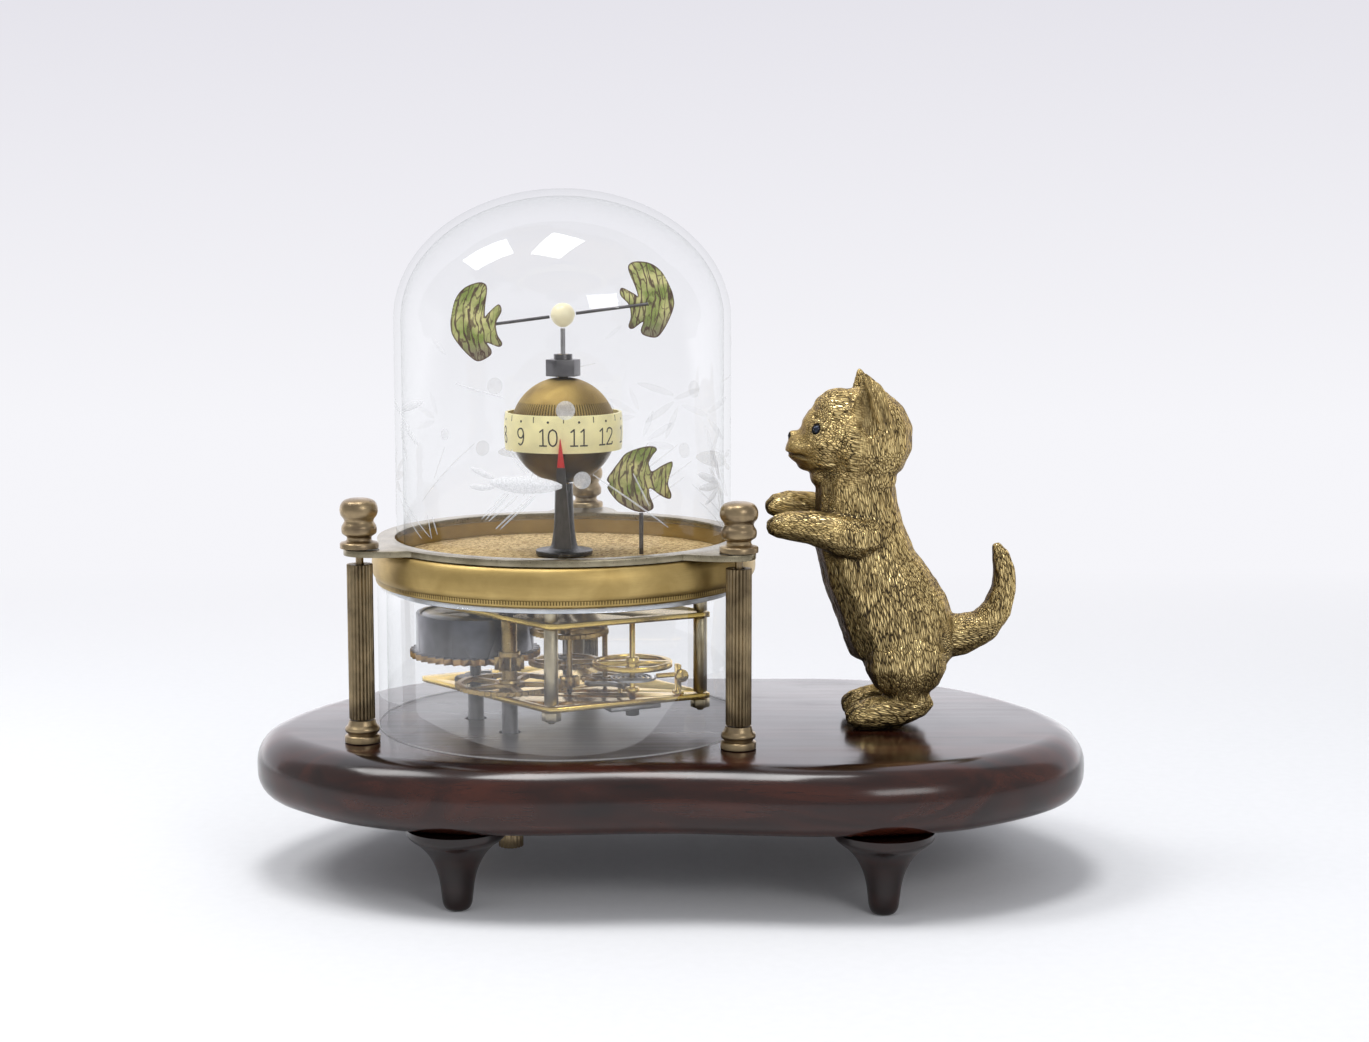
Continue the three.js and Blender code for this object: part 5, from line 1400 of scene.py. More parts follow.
@dataclass
class Ring:
    """Brass ring, flange, sand floor and the disc that carries the movement."""

    finishes: Finishes
    steps: int = 180
    ledge: float = 3.5 * MM
    flange_inset: float = 1.6 * MM
    flange_ease: float = 0.15 * MM
    ear_spread: float = 0.2
    ear_power: float = 0.8
    ear_reach: float = 4.2 * MM
    dome_gap: float = 0.5 * MM
    sand_rings: int = 70
    sand_drop: float = 0.25 * MM
    sand_wave: float = 0.14 * MM
    carrier_edge: float = 0.3 * MM
    bulge_curve: Knots = (
        (-0.7, 0.0), (0.1, 0.03), (0.3, 0.1), (0.32, 0.17), (0.62, 0.22), (0.94, 0.32), (1.0, 0.46),
        (0.97, 0.6), (0.72, 0.77), (0.3, 0.9), (-0.1, 0.97), (-0.4, 1.0))

    def build(self) -> None:
        """Make the pieces of the ring."""
        set_down(self.bezel(), "bulged_ring", self.finishes["ring_brass"], "bezel_ring", smooth=34)
        set_down(self.flange(), "eared_flange", self.finishes["flange_brass"], "flange_plate", smooth=34)
        set_down(self.sand(), "sand_bed", self.finishes["golden_sand"], "sand_floor", smooth=60)
        set_down(self.carrier(), "carrier_plate", self.finishes["white_metal"], "carrier_disc")

    def bezel(self) -> bmesh.types.BMesh:
        """The bulged ring with its inner ledge.

        Returns:
            The shape.
        """
        low, high = heights("bezel_ring")
        bore = radius("sand_floor") + SEAT
        ledge = bore - self.ledge
        glass = radius("lower_glass")
        bulge = radius("bezel_ring") - glass
        swell = [(glass + bulge * min(p[0], 1.0), low + (high - low) * rising(p[1], 0.0, 1.0))
                 for p in flowing(self.bulge_curve, 4)]
        shelf = heights("sand_floor")[0] - SEAT
        return spun([(ledge, low)] + swell + [(bore, high), (bore, shelf), (ledge, shelf), (ledge, low)],
                    self.finishes.axis, self.steps)

    def flange(self) -> bmesh.types.BMesh:
        """Thin plate round the dome with three ears for the pillars.

        Returns:
            The shape.
        """
        low, high = heights("flange_plate")
        axis = self.finishes.axis
        plain = radius("bezel_ring") - self.flange_inset
        bolts = [middle(f"pillar_finial_{side}") - axis for side in ("left", "right", "back")]
        angles = [math.atan2(v.y, v.x) for v in bolts]
        reach = bolts[0].xy.length + self.ear_reach - plain
        outline = []
        count = 2 * self.steps
        for i in range(count):
            angle = TAU * i / count
            away = min(abs((angle - other + math.pi) % TAU - math.pi) for other in angles)
            share = math.cos(math.pi / 2 * min(away / self.ear_spread, 1.0)) ** self.ear_power
            far = plain + reach * (share if away < self.ear_spread else 0.0)
            outline.append((axis.x + far * math.cos(angle), axis.y + far * math.sin(angle)))
        tools = [drill(axis, radius("glass_dome") + self.dome_gap, low, high, self.steps)]
        tools += [drill(axis + spot, ROD_HOLE, low, high) for spot in bolts]
        return eased(carved(raised(outline, low, high), tools), self.flange_ease, 50)

    def sand(self) -> bmesh.types.BMesh:
        """Sand bed with an uneven top.

        Returns:
            The shape.
        """
        low, high = heights("sand_floor")
        wide = radius("sand_floor")
        rings = self.sand_rings
        top = [(wide + (POST_BORE - wide) * i / rings, high - self.sand_drop) for i in range(rings + 1)]
        bm = spun([(POST_BORE, low), (wide, low)] + top + [(POST_BORE, low)], self.finishes.axis, self.steps)
        for vert in bm.verts:
            if vert.co.z > (low + high) / 2:
                grain = noise.noise(vert.co * 900.0) + 0.6 * noise.noise(vert.co * 240.0)
                vert.co.z += self.sand_wave * grain
        return bm

    def carrier(self) -> bmesh.types.BMesh:
        """Pale disc over the movement.

        Returns:
            The shape.
        """
        low, high = heights("carrier_disc")
        wide = radius("carrier_disc")
        edge = self.carrier_edge
        rim = bend((wide - edge, low + edge), edge, -90, 0) + bend((wide - edge, high - edge), edge, 0, 90)
        hole = [(POST_BORE, high), (POST_BORE, low)]
        return spun([hole[1], *rim, *hole], self.finishes.axis, self.steps)


@dataclass
class Glassware:
    """Dome and lower cylinder, with sprays of leaves cut into the dome."""

    finishes: Finishes
    steps: int = 144
    crown: float = 36 * MM
    crown_steps: int = 28
    wall: float = 2 * MM
    lip_steps: int = 8
    ground: tuple[float, float] = (0.35 * MM, 0.75 * MM)
    cut_depth: float = 0.03 * MM
    cut_sunk: float = 0.7
    leaves: tuple[tuple[float, float, float, float, float, float], ...] = (
        (-21.5, 114.0, 2.4, 113.4, 4.7, 1.0), (-19.8, 115.2, -28.4, 117.6, 1.8, 0.8),
        (-19.8, 112.8, -28.8, 112.6, 1.8, 0.8), (-66.0, 129.8, -80.0, 133.5, 1.7, 0.5),
        (-66.0, 131.0, -50.0, 134.0, 2.1, 0.5), (-66.0, 129.0, -53.4, 122.4, 2.1, 0.5),
        (-68.0, 127.5, -62.0, 118.0, 2.0, 0.5), (67.0, 111.2, 53.0, 114.6, 2.3, 0.7),
        (67.0, 110.4, 53.6, 110.7, 2.3, 0.7), (67.5, 112.0, 63.4, 119.0, 2.0, 0.7),
        (67.5, 110.0, 57.5, 106.0, 1.9, 0.7), (31.0, 125.0, 41.0, 129.0, 1.9, 0.25),
        (31.0, 124.0, 41.5, 122.6, 1.9, 0.25), (29.5, 126.0, 33.0, 132.5, 1.6, 0.25),
        (-44.0, 151.0, -38.0, 147.0, 1.4, 0.3))
    stems: tuple[tuple[float, float, float, float], ...] = (
        (-16.1, 111.4, -24.6, 104.2), (-14.9, 111.2, -23.2, 104.0), (-11.8, 110.8, -22.0, 103.8),
        (-7.5, 110.8, -19.5, 101.9), (-6.2, 110.8, -18.0, 101.8), (12.2, 116.4, 39.1, 101.2),
        (25.7, 116.3, 31.6, 107.3), (-15.2, 122.8, -9.0, 116.2), (-14.0, 122.9, -8.2, 116.8),
        (-75.0, 112.0, -47.2, 98.0), (-71.0, 107.0, -52.0, 97.2), (-45.7, 103.6, -43.2, 99.0),
        (-48.4, 104.0, -46.2, 97.6), (66.5, 109.2, 68.7, 100.6), (68.0, 109.0, 73.0, 100.0),
        (-34.0, 139.6, -16.6, 136.4))
    berries: tuple[tuple[float, float, float], ...] = (
        (8.8, 114.9, 2.3), (3.6, 133.2, 2.5), (-39.0, 126.0, 1.5))
    far_groups: tuple[float, ...] = (125.0, 205.0)
    leaf_blunt: float = 0.6
    leaf_bulge: float = 0.18
    stem_width: float = 0.5
    stem_blunt: float = 0.3
    berry_sides: int = 28
    stem_cover: float = 0.75
    berry_cover: float = 0.7
    ground_cover: float = 0.7
    far_cover: float = 0.35

    def build(self) -> None:
        """Make the glass and its cut ornament."""
        set_down(self.dome(), "clear_dome", self.finishes["clear_glass"], "glass_dome", smooth=60)
        set_down(self.cylinder(), "clear_cylinder", self.finishes["cylinder_glass"], "lower_glass", smooth=60)
        frost = self.finishes["frosted_cut"]
        set_down(self.ornament(), "dome_cut_leaves", frost, "glass_dome", stands_for=False)
        set_down(self.ground_rim(), "cylinder_ground_rim", frost, "lower_glass", stands_for=False)

    def dome(self) -> bmesh.types.BMesh:
        """Straight-sided dome with an elliptical crown.

        Returns:
            The shape.
        """
        low, high = heights("glass_dome")
        wide = radius("glass_dome")
        spring = high - self.crown
        lip = self.wall / 2

        def shell(thinner: float) -> Profile:
            """The crown's curve, moved in by a thickness.

            Args:
                thinner: The thickness.

            Returns:
                Radii and heights, from the side to the top.
            """
            turns = [math.pi / 2 * i / self.crown_steps for i in range(self.crown_steps)]
            tall = self.crown - thinner
            side = [((wide - thinner) * math.cos(a), spring + tall * math.sin(a)) for a in turns]
            return side + [(0.0, spring + tall)]

        foot = bend((wide - lip, low + lip), lip, 0, -180, self.lip_steps)
        return spun(shell(0.0)[::-1] + foot + shell(self.wall), self.finishes.axis, self.steps)

    def cylinder(self) -> bmesh.types.BMesh:
        """Lower glass with eased rims.

        Returns:
            The shape.
        """
        low, high = heights("lower_glass")
        wide = radius("lower_glass")
        lip = (wide - radius("carrier_disc") - SEAT) / 2
        over = bend((wide - lip, high - lip), lip, 0, 180, self.lip_steps)
        ring = over + bend((wide - lip, low + lip), lip, 180, 360, self.lip_steps)
        return spun(ring + [ring[0]], self.finishes.axis, self.steps)

    def ground_rim(self) -> bmesh.types.BMesh:
        """The matt ground edge at the foot of the lower glass.

        Returns:
            The shape.
        """
        foot, top = (heights("lower_glass")[0] + up for up in self.ground)
        out, back = radius("lower_glass") + self.cut_depth, radius("lower_glass") - self.cut_depth
        bm = spun([(back, foot), (out, foot), (out, top), (back, top), (back, foot)],
                  self.finishes.axis, self.steps)
        layer = bm.verts.layers.float.new("cover")
        for vert in bm.verts:
            vert[layer] = self.ground_cover
        return bm

    def leaf(self, bm: bmesh.types.BMesh, start: Vector, end: Vector, width: float,
             blunt: float) -> list[bmesh.types.BMVert]:
        """Add one cut leaf or stem to the flat sheet, with X round the dome and Y up.

        Args:
            bm: The sheet that grows.
            start: Where the cut begins.
            end: Where it ends.
            width: Its greatest width.
            blunt: Power that rounds the ends; small is blunt.

        Returns:
            The cut's vertices.
        """
        made = bmesh.ops.create_grid(bm, x_segments=14, y_segments=6, size=0.5)["verts"]
        along = end - start
        across = Vector((-along.y, along.x)).normalized()
        for vert in made:
            share = vert.co.x + 0.5
            swell = max(math.sin(math.pi * (0.02 + 0.96 * share)), 0.0) ** blunt
            spot = start + along * share + across * (vert.co.y * width * swell)
            vert.co = (spot.x, spot.y, self.leaf_bulge * width * swell * (1 - (2 * vert.co.y) ** 2))
        return made

    def sheet(self) -> bmesh.types.BMesh:
        """All cuts drawn flat: leaves, fine stems and round berries, then the same group further round.

        Returns:
            The flat sheet.
        """
        bm = bmesh.new()
        wide = radius("glass_dome")
        layer = bm.verts.layers.float.new("cover")

        def spot(angle: float, tall: float) -> Vector:
            """Place on the flat sheet."""
            return Vector((math.radians(angle) * wide, tall * MM))

        for turn in (0.0, *self.far_groups):
            faint = self.far_cover if turn else 1.0
            cuts = []
            for a, low, b, high, width, cover in self.leaves:
                made = self.leaf(bm, spot(a + turn, low), spot(b + turn, high), width * MM, self.leaf_blunt)
                cuts.append((made, cover))
            for a, low, b, high in self.stems:
                made = self.leaf(bm, spot(a + turn, low), spot(b + turn, high), self.stem_width * MM,
                                 self.stem_blunt)
                cuts.append((made, self.stem_cover))
            for a, tall, size in self.berries:
                centre = spot(a + turn, tall)
                made = bmesh.ops.create_circle(bm, cap_ends=True, segments=self.berry_sides,
                                               radius=size * MM)["verts"]
                bmesh.ops.translate(bm, verts=made, vec=(centre.x, centre.y, 0.0))
                cuts.append((made, self.berry_cover))
            for made, cover in cuts:
                for vert in made:
                    vert[layer] = cover * faint
        return bm

    def ornament(self) -> bmesh.types.BMesh:
        """The sheet of cuts laid round the dome.

        Returns:
            The shape.
        """
        bm = self.sheet()
        thickened(bm, self.cut_sunk * self.cut_depth)
        around = radius("glass_dome")
        wide = around + self.cut_depth
        axis = self.finishes.axis
        floor = heights("flange_plate")[1] + MM
        for vert in bm.verts:
            turn = vert.co.x / around
            reach = wide + vert.co.z
            level = max(vert.co.y, floor)
            vert.co = (axis.x + reach * math.sin(turn), axis.y - reach * math.cos(turn), level)
        bmesh.ops.dissolve_degenerate(bm, edges=bm.edges, dist=MERGE)
        bmesh.ops.recalc_face_normals(bm, faces=bm.faces)
        return bm


@dataclass
class Dial:
    """Post, ball, hour band with numerals, nut and pointer."""

    finishes: Finishes
    steps: int = 120
    numeral_size: float = 4.5 * MM
    numeral_drop: float = 0.75 * MM
    pen_width: float = 0.4 * MM
    eleven_at: float = 18.0
    ink_thick: float = 0.04 * MM
    ink_sunk: float = 0.8
    ink_span: float = 0.7 * MM
    dot: float = 0.34 * MM
    dot_drop: float = 1.7 * MM
    tick: tuple[float, float] = (0.26 * MM, 1.6 * MM)
    tick_drop: float = 1.1 * MM
    post_foot: float = 1.2 * MM
    post_edge: float = 0.35 * MM
    post_curve: Knots = (
        (5.2 * MM, 1.2 * MM), (3.9 * MM, 2 * MM), (3.2 * MM, 5 * MM), (2.75 * MM, 10 * MM))
    post_neck: float = 2.5 * MM
    ball_radius: float = 14.8 * MM
    ball_wall: float = 1.2 * MM
    ball_bore: float = 2.15 * MM
    ball_steps: int = 24
    band_crown: float = 0.35 * MM
    band_wall: float = 0.7 * MM
    band_web: float = 0.4 * MM
    band_hub: float = 1.8 * MM
    band_steps: int = 8
    nut_ease: float = 0.22 * MM
    pointer_ease: float = 0.12 * MM
    red_from: float = 0.74

    def build(self) -> None:
        """Make the pieces of the dial."""
        set_down(self.post(), "pointer_post", self.finishes["black_paint"], "post")
        for node, way, finish in (("ball_lower_half", -1, "bronze"), ("ball_upper_half", 1, "ball_brass")):
            set_down(self.half_ball(node, way), f"shell_{node}", self.finishes[finish], node)
        set_down(self.band(), "enamel_hour_band", self.finishes["cream_enamel"], "hour_band", smooth=30)
        ink = self.finishes["numeral_ink"]
        set_down(self.numerals(), "hour_numerals", ink, "hour_band", stands_for=False)
        nut = eased(cad_copy("top_nut"), self.nut_ease)
        set_down(nut, "hexagon_nut", self.finishes["dark_steel"], "top_nut", smooth=30)
        low, high = heights("pointer")
        paint = PointerPaint(low + self.red_from * (high - low)).paint()
        blade = eased(cad_copy("pointer"), self.pointer_ease, 30)
        set_down(blade, "pointer_blade", paint, "pointer", smooth=30)

    def post(self) -> bmesh.types.BMesh:
        """Hollow tapered post on a round foot.

        Returns:
            The shape.
        """
        low, high = heights("post")
        wide = radius("post")
        edge = self.post_edge
        rim = [(wide, low)] + bend((wide - edge, low + self.post_foot - edge), edge, 0, 90, 4)
        knots = [(reach, low + up) for reach, up in self.post_curve] + [(self.post_neck, high)]
        stem = [tuple(p) for p in flowing(knots, 5)]
        hole = [(POST_BORE, high), (POST_BORE, low)]
        return spun([hole[1], *rim, *stem, *hole], self.finishes.axis, self.steps)

    def half_ball(self, node: str, way: int) -> bmesh.types.BMesh:
        """One half of the ball as a shell.

        Args:
            node: The CAD node it stands for.
            way: 1 for the upper half, -1 for the lower.

        Returns:
            The shape.
        """
        ball = middle("hour_band").z
        low, high = heights(node)
        flat = low if way > 0 else high

        def arc(size: float) -> Profile:
            """Curve of the shell from its flat edge to its bore.

            Args:
                size: Radius of the curve.

            Returns:
                Radii and heights.
            """
            start = math.asin(abs(flat - ball) / size)
            end = math.acos(self.ball_bore / size)
            turns = [start + (end - start) * i / self.ball_steps for i in range(self.ball_steps + 1)]
            return [(size * math.cos(a), ball + way * size * math.sin(a)) for a in turns]

        skin = arc(self.ball_radius)
        lining = arc(self.ball_radius - self.ball_wall)[::-1]
        return spun(skin + lining + [skin[0]], self.finishes.axis, self.steps)

    def band(self) -> bmesh.types.BMesh:
        """Hour band with rolled edges on its web.

        Returns:
            The shape.
        """
        low, high = heights("hour_band")
        wide = radius("hour_band")
        ball = (low + high) / 2
        half = (high - low) / 2
        crown, web, hub, count = self.band_crown, self.band_web, self.band_hub, self.band_steps
        face = [(wide - crown * (t / count) ** 2, ball + half * t / count) for t in range(-count, count + 1)]
        inside = wide - self.band_wall
        under = [(hub, ball - web), (inside, ball - web), (inside - crown, low)]
        over = [(inside - crown, high), (inside, ball + web), (hub, ball + web)]
        return spun([*under, *face, *over, under[0]], self.finishes.axis, self.steps)

    def digit(self, flat: bmesh.types.BMesh, figure: str, left: float) -> None:
        """Draw one figure with a fine pen on the flat sheet.

        Args:
            flat: The sheet, with X round the band and Y up from its middle.
            figure: The figure from 0 to 9.
            left: Where the figure's cell begins.
        """
        tall = self.numeral_size
        lines = NUMERALS["6" if figure == "9" else figure]
        for points, curved in lines:
            shown = [(0.6 - x, 1 - y) for x, y in points] if figure == "9" else points
            path = flowing(shown, 6) if curved else [Vector(point) for point in shown]
            pen = [Vector((left + p.x * tall, (p.y - 0.5) * tall - self.numeral_drop)) for p in path]
            for a, b in zip(pen, pen[1:]):
                along = (b - a).normalized() * 0.5 * self.pen_width
                across = Vector((-along.y, along.x))
                corners = (a - 0.6 * along + across, a - 0.6 * along - across,
                           b + 0.6 * along - across, b + 0.6 * along + across)
                flat.faces.new([flat.verts.new((*corner, 0.0)) for corner in corners])

    def numerals(self) -> bmesh.types.BMesh:
        """Hours from 1 to 12 with a dot over each and half-hour ticks, laid round the band.

        Returns:
            The shape.
        """
        wide = radius("hour_band")
        low, high = heights("hour_band")
        ball = (low + high) / 2
        half = (high - low) / 2
        axis = self.finishes.axis
        cell = 0.62 * self.numeral_size
        flat = bmesh.new()
        for hour in range(1, 13):
            turn = math.radians(self.eleven_at + 30 * (hour - 11))
            figures = str(hour)
            for k, figure in enumerate(figures):
                self.digit(flat, figure, turn * wide + (k - len(figures) / 2) * cell)
            dot = bmesh.ops.create_circle(flat, cap_ends=True, segments=12, radius=self.dot)["verts"]
            bmesh.ops.translate(flat, verts=dot, vec=(turn * wide, half - self.dot_drop, 0))
            tick = bmesh.ops.create_grid(flat, x_segments=1, y_segments=1, size=0.5)["verts"]
            bmesh.ops.scale(flat, verts=tick, vec=(*self.tick, 1))
            later = (turn + math.radians(15)) * wide
            bmesh.ops.translate(flat, verts=tick, vec=(later, half - self.tick_drop, 0))
        bmesh.ops.triangulate(flat, faces=flat.faces)
        long_edges = [edge for edge in flat.edges if edge.calc_length() > self.ink_span]
        bmesh.ops.subdivide_edges(flat, edges=long_edges, cuts=1)
        thickened(flat, self.ink_sunk * self.ink_thick)
        for vert in flat.verts:
            turn = vert.co.x / wide
            level = vert.co.y
            reach = wide - self.band_crown * (level / half) ** 2 + self.ink_thick + vert.co.z
            vert.co = (axis.x + reach * math.sin(turn), axis.y - reach * math.cos(turn), ball + level)
        bmesh.ops.recalc_face_normals(flat, faces=flat.faces)
        return flat


@dataclass
class School:
    """Fish on their wires, the bead and the standing fish."""

    finishes: Finishes
    outline_steps: int = 6
    edge: float = 0.9 * MM
    mesh_size: float = 0.7 * MM
    rounds: int = 6
    bead_steps: int = 24
    bead_sides: int = 48
    bead_slim: float = 0.1

    def build(self) -> None:
        """Make the fish and what carries them."""
        for node in ("fish_left", "fish_right", "fish_floor"):
            self.fish(node)
        set_down(self.bead(), "ivory_bead", self.finishes["ivory"], "bead")
        for node in ("fish_arm_left", "fish_arm_right", "fish_rod"):
            set_down(cad_copy(node), f"wire_{node}", self.finishes["dark_steel"], node, smooth=65)

    def fish(self, node: str) -> None:
        """One flat fish: the CAD outline made smooth, painted darker towards its edge.

        Args:
            node: The CAD node it stands for.
        """
        bm = cad_copy(node)
        bm.normal_update()
        side = max(bm.faces, key=lambda face: face.calc_area())
        loop = [vert.co.copy() for vert in side.verts]
        outward = side.normal.copy()
        spans = [vert.co.dot(outward) for vert in bm.verts]
        level = max(spans)
        thick = level - min(spans)
        bm.free()
        outline = flowing(loop, self.outline_steps, closed=True)
        plate = bmesh.new()
        face = plate.faces.new([plate.verts.new(co) for co in outline])
        far = new_points(bmesh.ops.extrude_face_region(plate, geom=[face]))
        bmesh.ops.translate(plate, verts=far, vec=-thick * outward)
        bmesh.ops.recalc_face_normals(plate, faces=plate.faces)
        bmesh.ops.triangulate(plate, faces=plate.faces)
        for _ in range(self.rounds):
            long_edges = [edge for edge in plate.edges if edge.calc_length() > self.mesh_size]
            bmesh.ops.subdivide_edges(plate, edges=long_edges, cuts=1)
            bmesh.ops.triangulate(plate, faces=plate.faces)
        tree = kdtree.KDTree(len(outline))
        for i, co in enumerate(outline):
            tree.insert(co, i)
        tree.balance()
        rim = []
        for vert in plate.verts:
            raised_up = vert.co + outward * (level - vert.co.dot(outward))
            rim.append(max(1 - tree.find(raised_up)[2] / self.edge, 0.0))
        nose = 1.0 if node == "fish_right" else -1.0
        paint = FishPaint(tuple(middle(node)), nose, f"{node}_paint").paint()
        piece = set_down(plate, f"painted_{node}", paint, node, smooth=50)
        store(piece.data, "rim", rim)

    def bead(self) -> bmesh.types.BMesh:
        """Bead, a little drawn out below.

        Returns:
            The shape.
        """
        low, high = heights("bead")
        wide = radius("bead")
        centre = (low + high) / 2
        profile = [(0.0, low)]
        for i in range(1, self.bead_steps):
            turn = math.pi * i / self.bead_steps
            slim = 1.0 - self.bead_slim * max(math.cos(turn), 0.0)
            profile.append((wide * slim * math.sin(turn), centre - (high - low) / 2 * math.cos(turn)))
        return spun(profile + [(0.0, high)], middle("bead"), self.bead_sides)


@dataclass
class Movement:
    """Plates, train, barrel, lever and balance, copied from the CAD nodes with eased edges."""

    finishes: Finishes
    coats: tuple[tuple[str, str, float], ...] = (
        ("lower_plate", "plate_brass", 0.1), ("upper_plate", "plate_brass", 0.1),
        ("plate_pillar_front", "pale_brass", 0.1), ("plate_pillar_right", "pale_brass", 0.1),
        ("plate_pillar_back", "pale_brass", 0.1), ("regulator_bracket", "plate_brass", 0.1),
        ("balance_bridge", "steel", 0.1), ("barrel", "drum_steel", 0.08), ("barrel_lid", "steel", 0.1),
        ("barrel_arbor", "dark_steel", 0.08), ("ratchet_wheel", "dark_steel", 0.05), ("click", "steel", 0.08),
        ("centre_wheel", "wheel_brass", 0.04), ("setting_arbor", "dark_steel", 0.05),
        ("third_wheel", "wheel_brass", 0.04), ("fourth_wheel", "wheel_brass", 0.04),
        ("fish_spindle", "steel", 0.04), ("escape_wheel", "wheel_brass", 0.04),
        ("pallet_lever", "steel", 0.06), ("balance_wheel", "plate_brass", 0.1),
        ("minute_wheel", "wheel_brass", 0.04), ("hour_wheel", "wheel_brass", 0.04),
        ("winding_knob", "brass", 0.12), ("setting_knob", "brass", 0.12),
        ("mainspring", "steel", 0.0), ("hairspring", "steel", 0.0),
    )

    def build(self) -> None:
        """Make every piece of the movement."""
        for node, finish, width in self.coats:
            bm = cad_copy(node)
            if width:
                eased(bm, width * MM, 50, 1)
            set_down(bm, f"movement_{node}", self.finishes[finish], node, smooth=47)


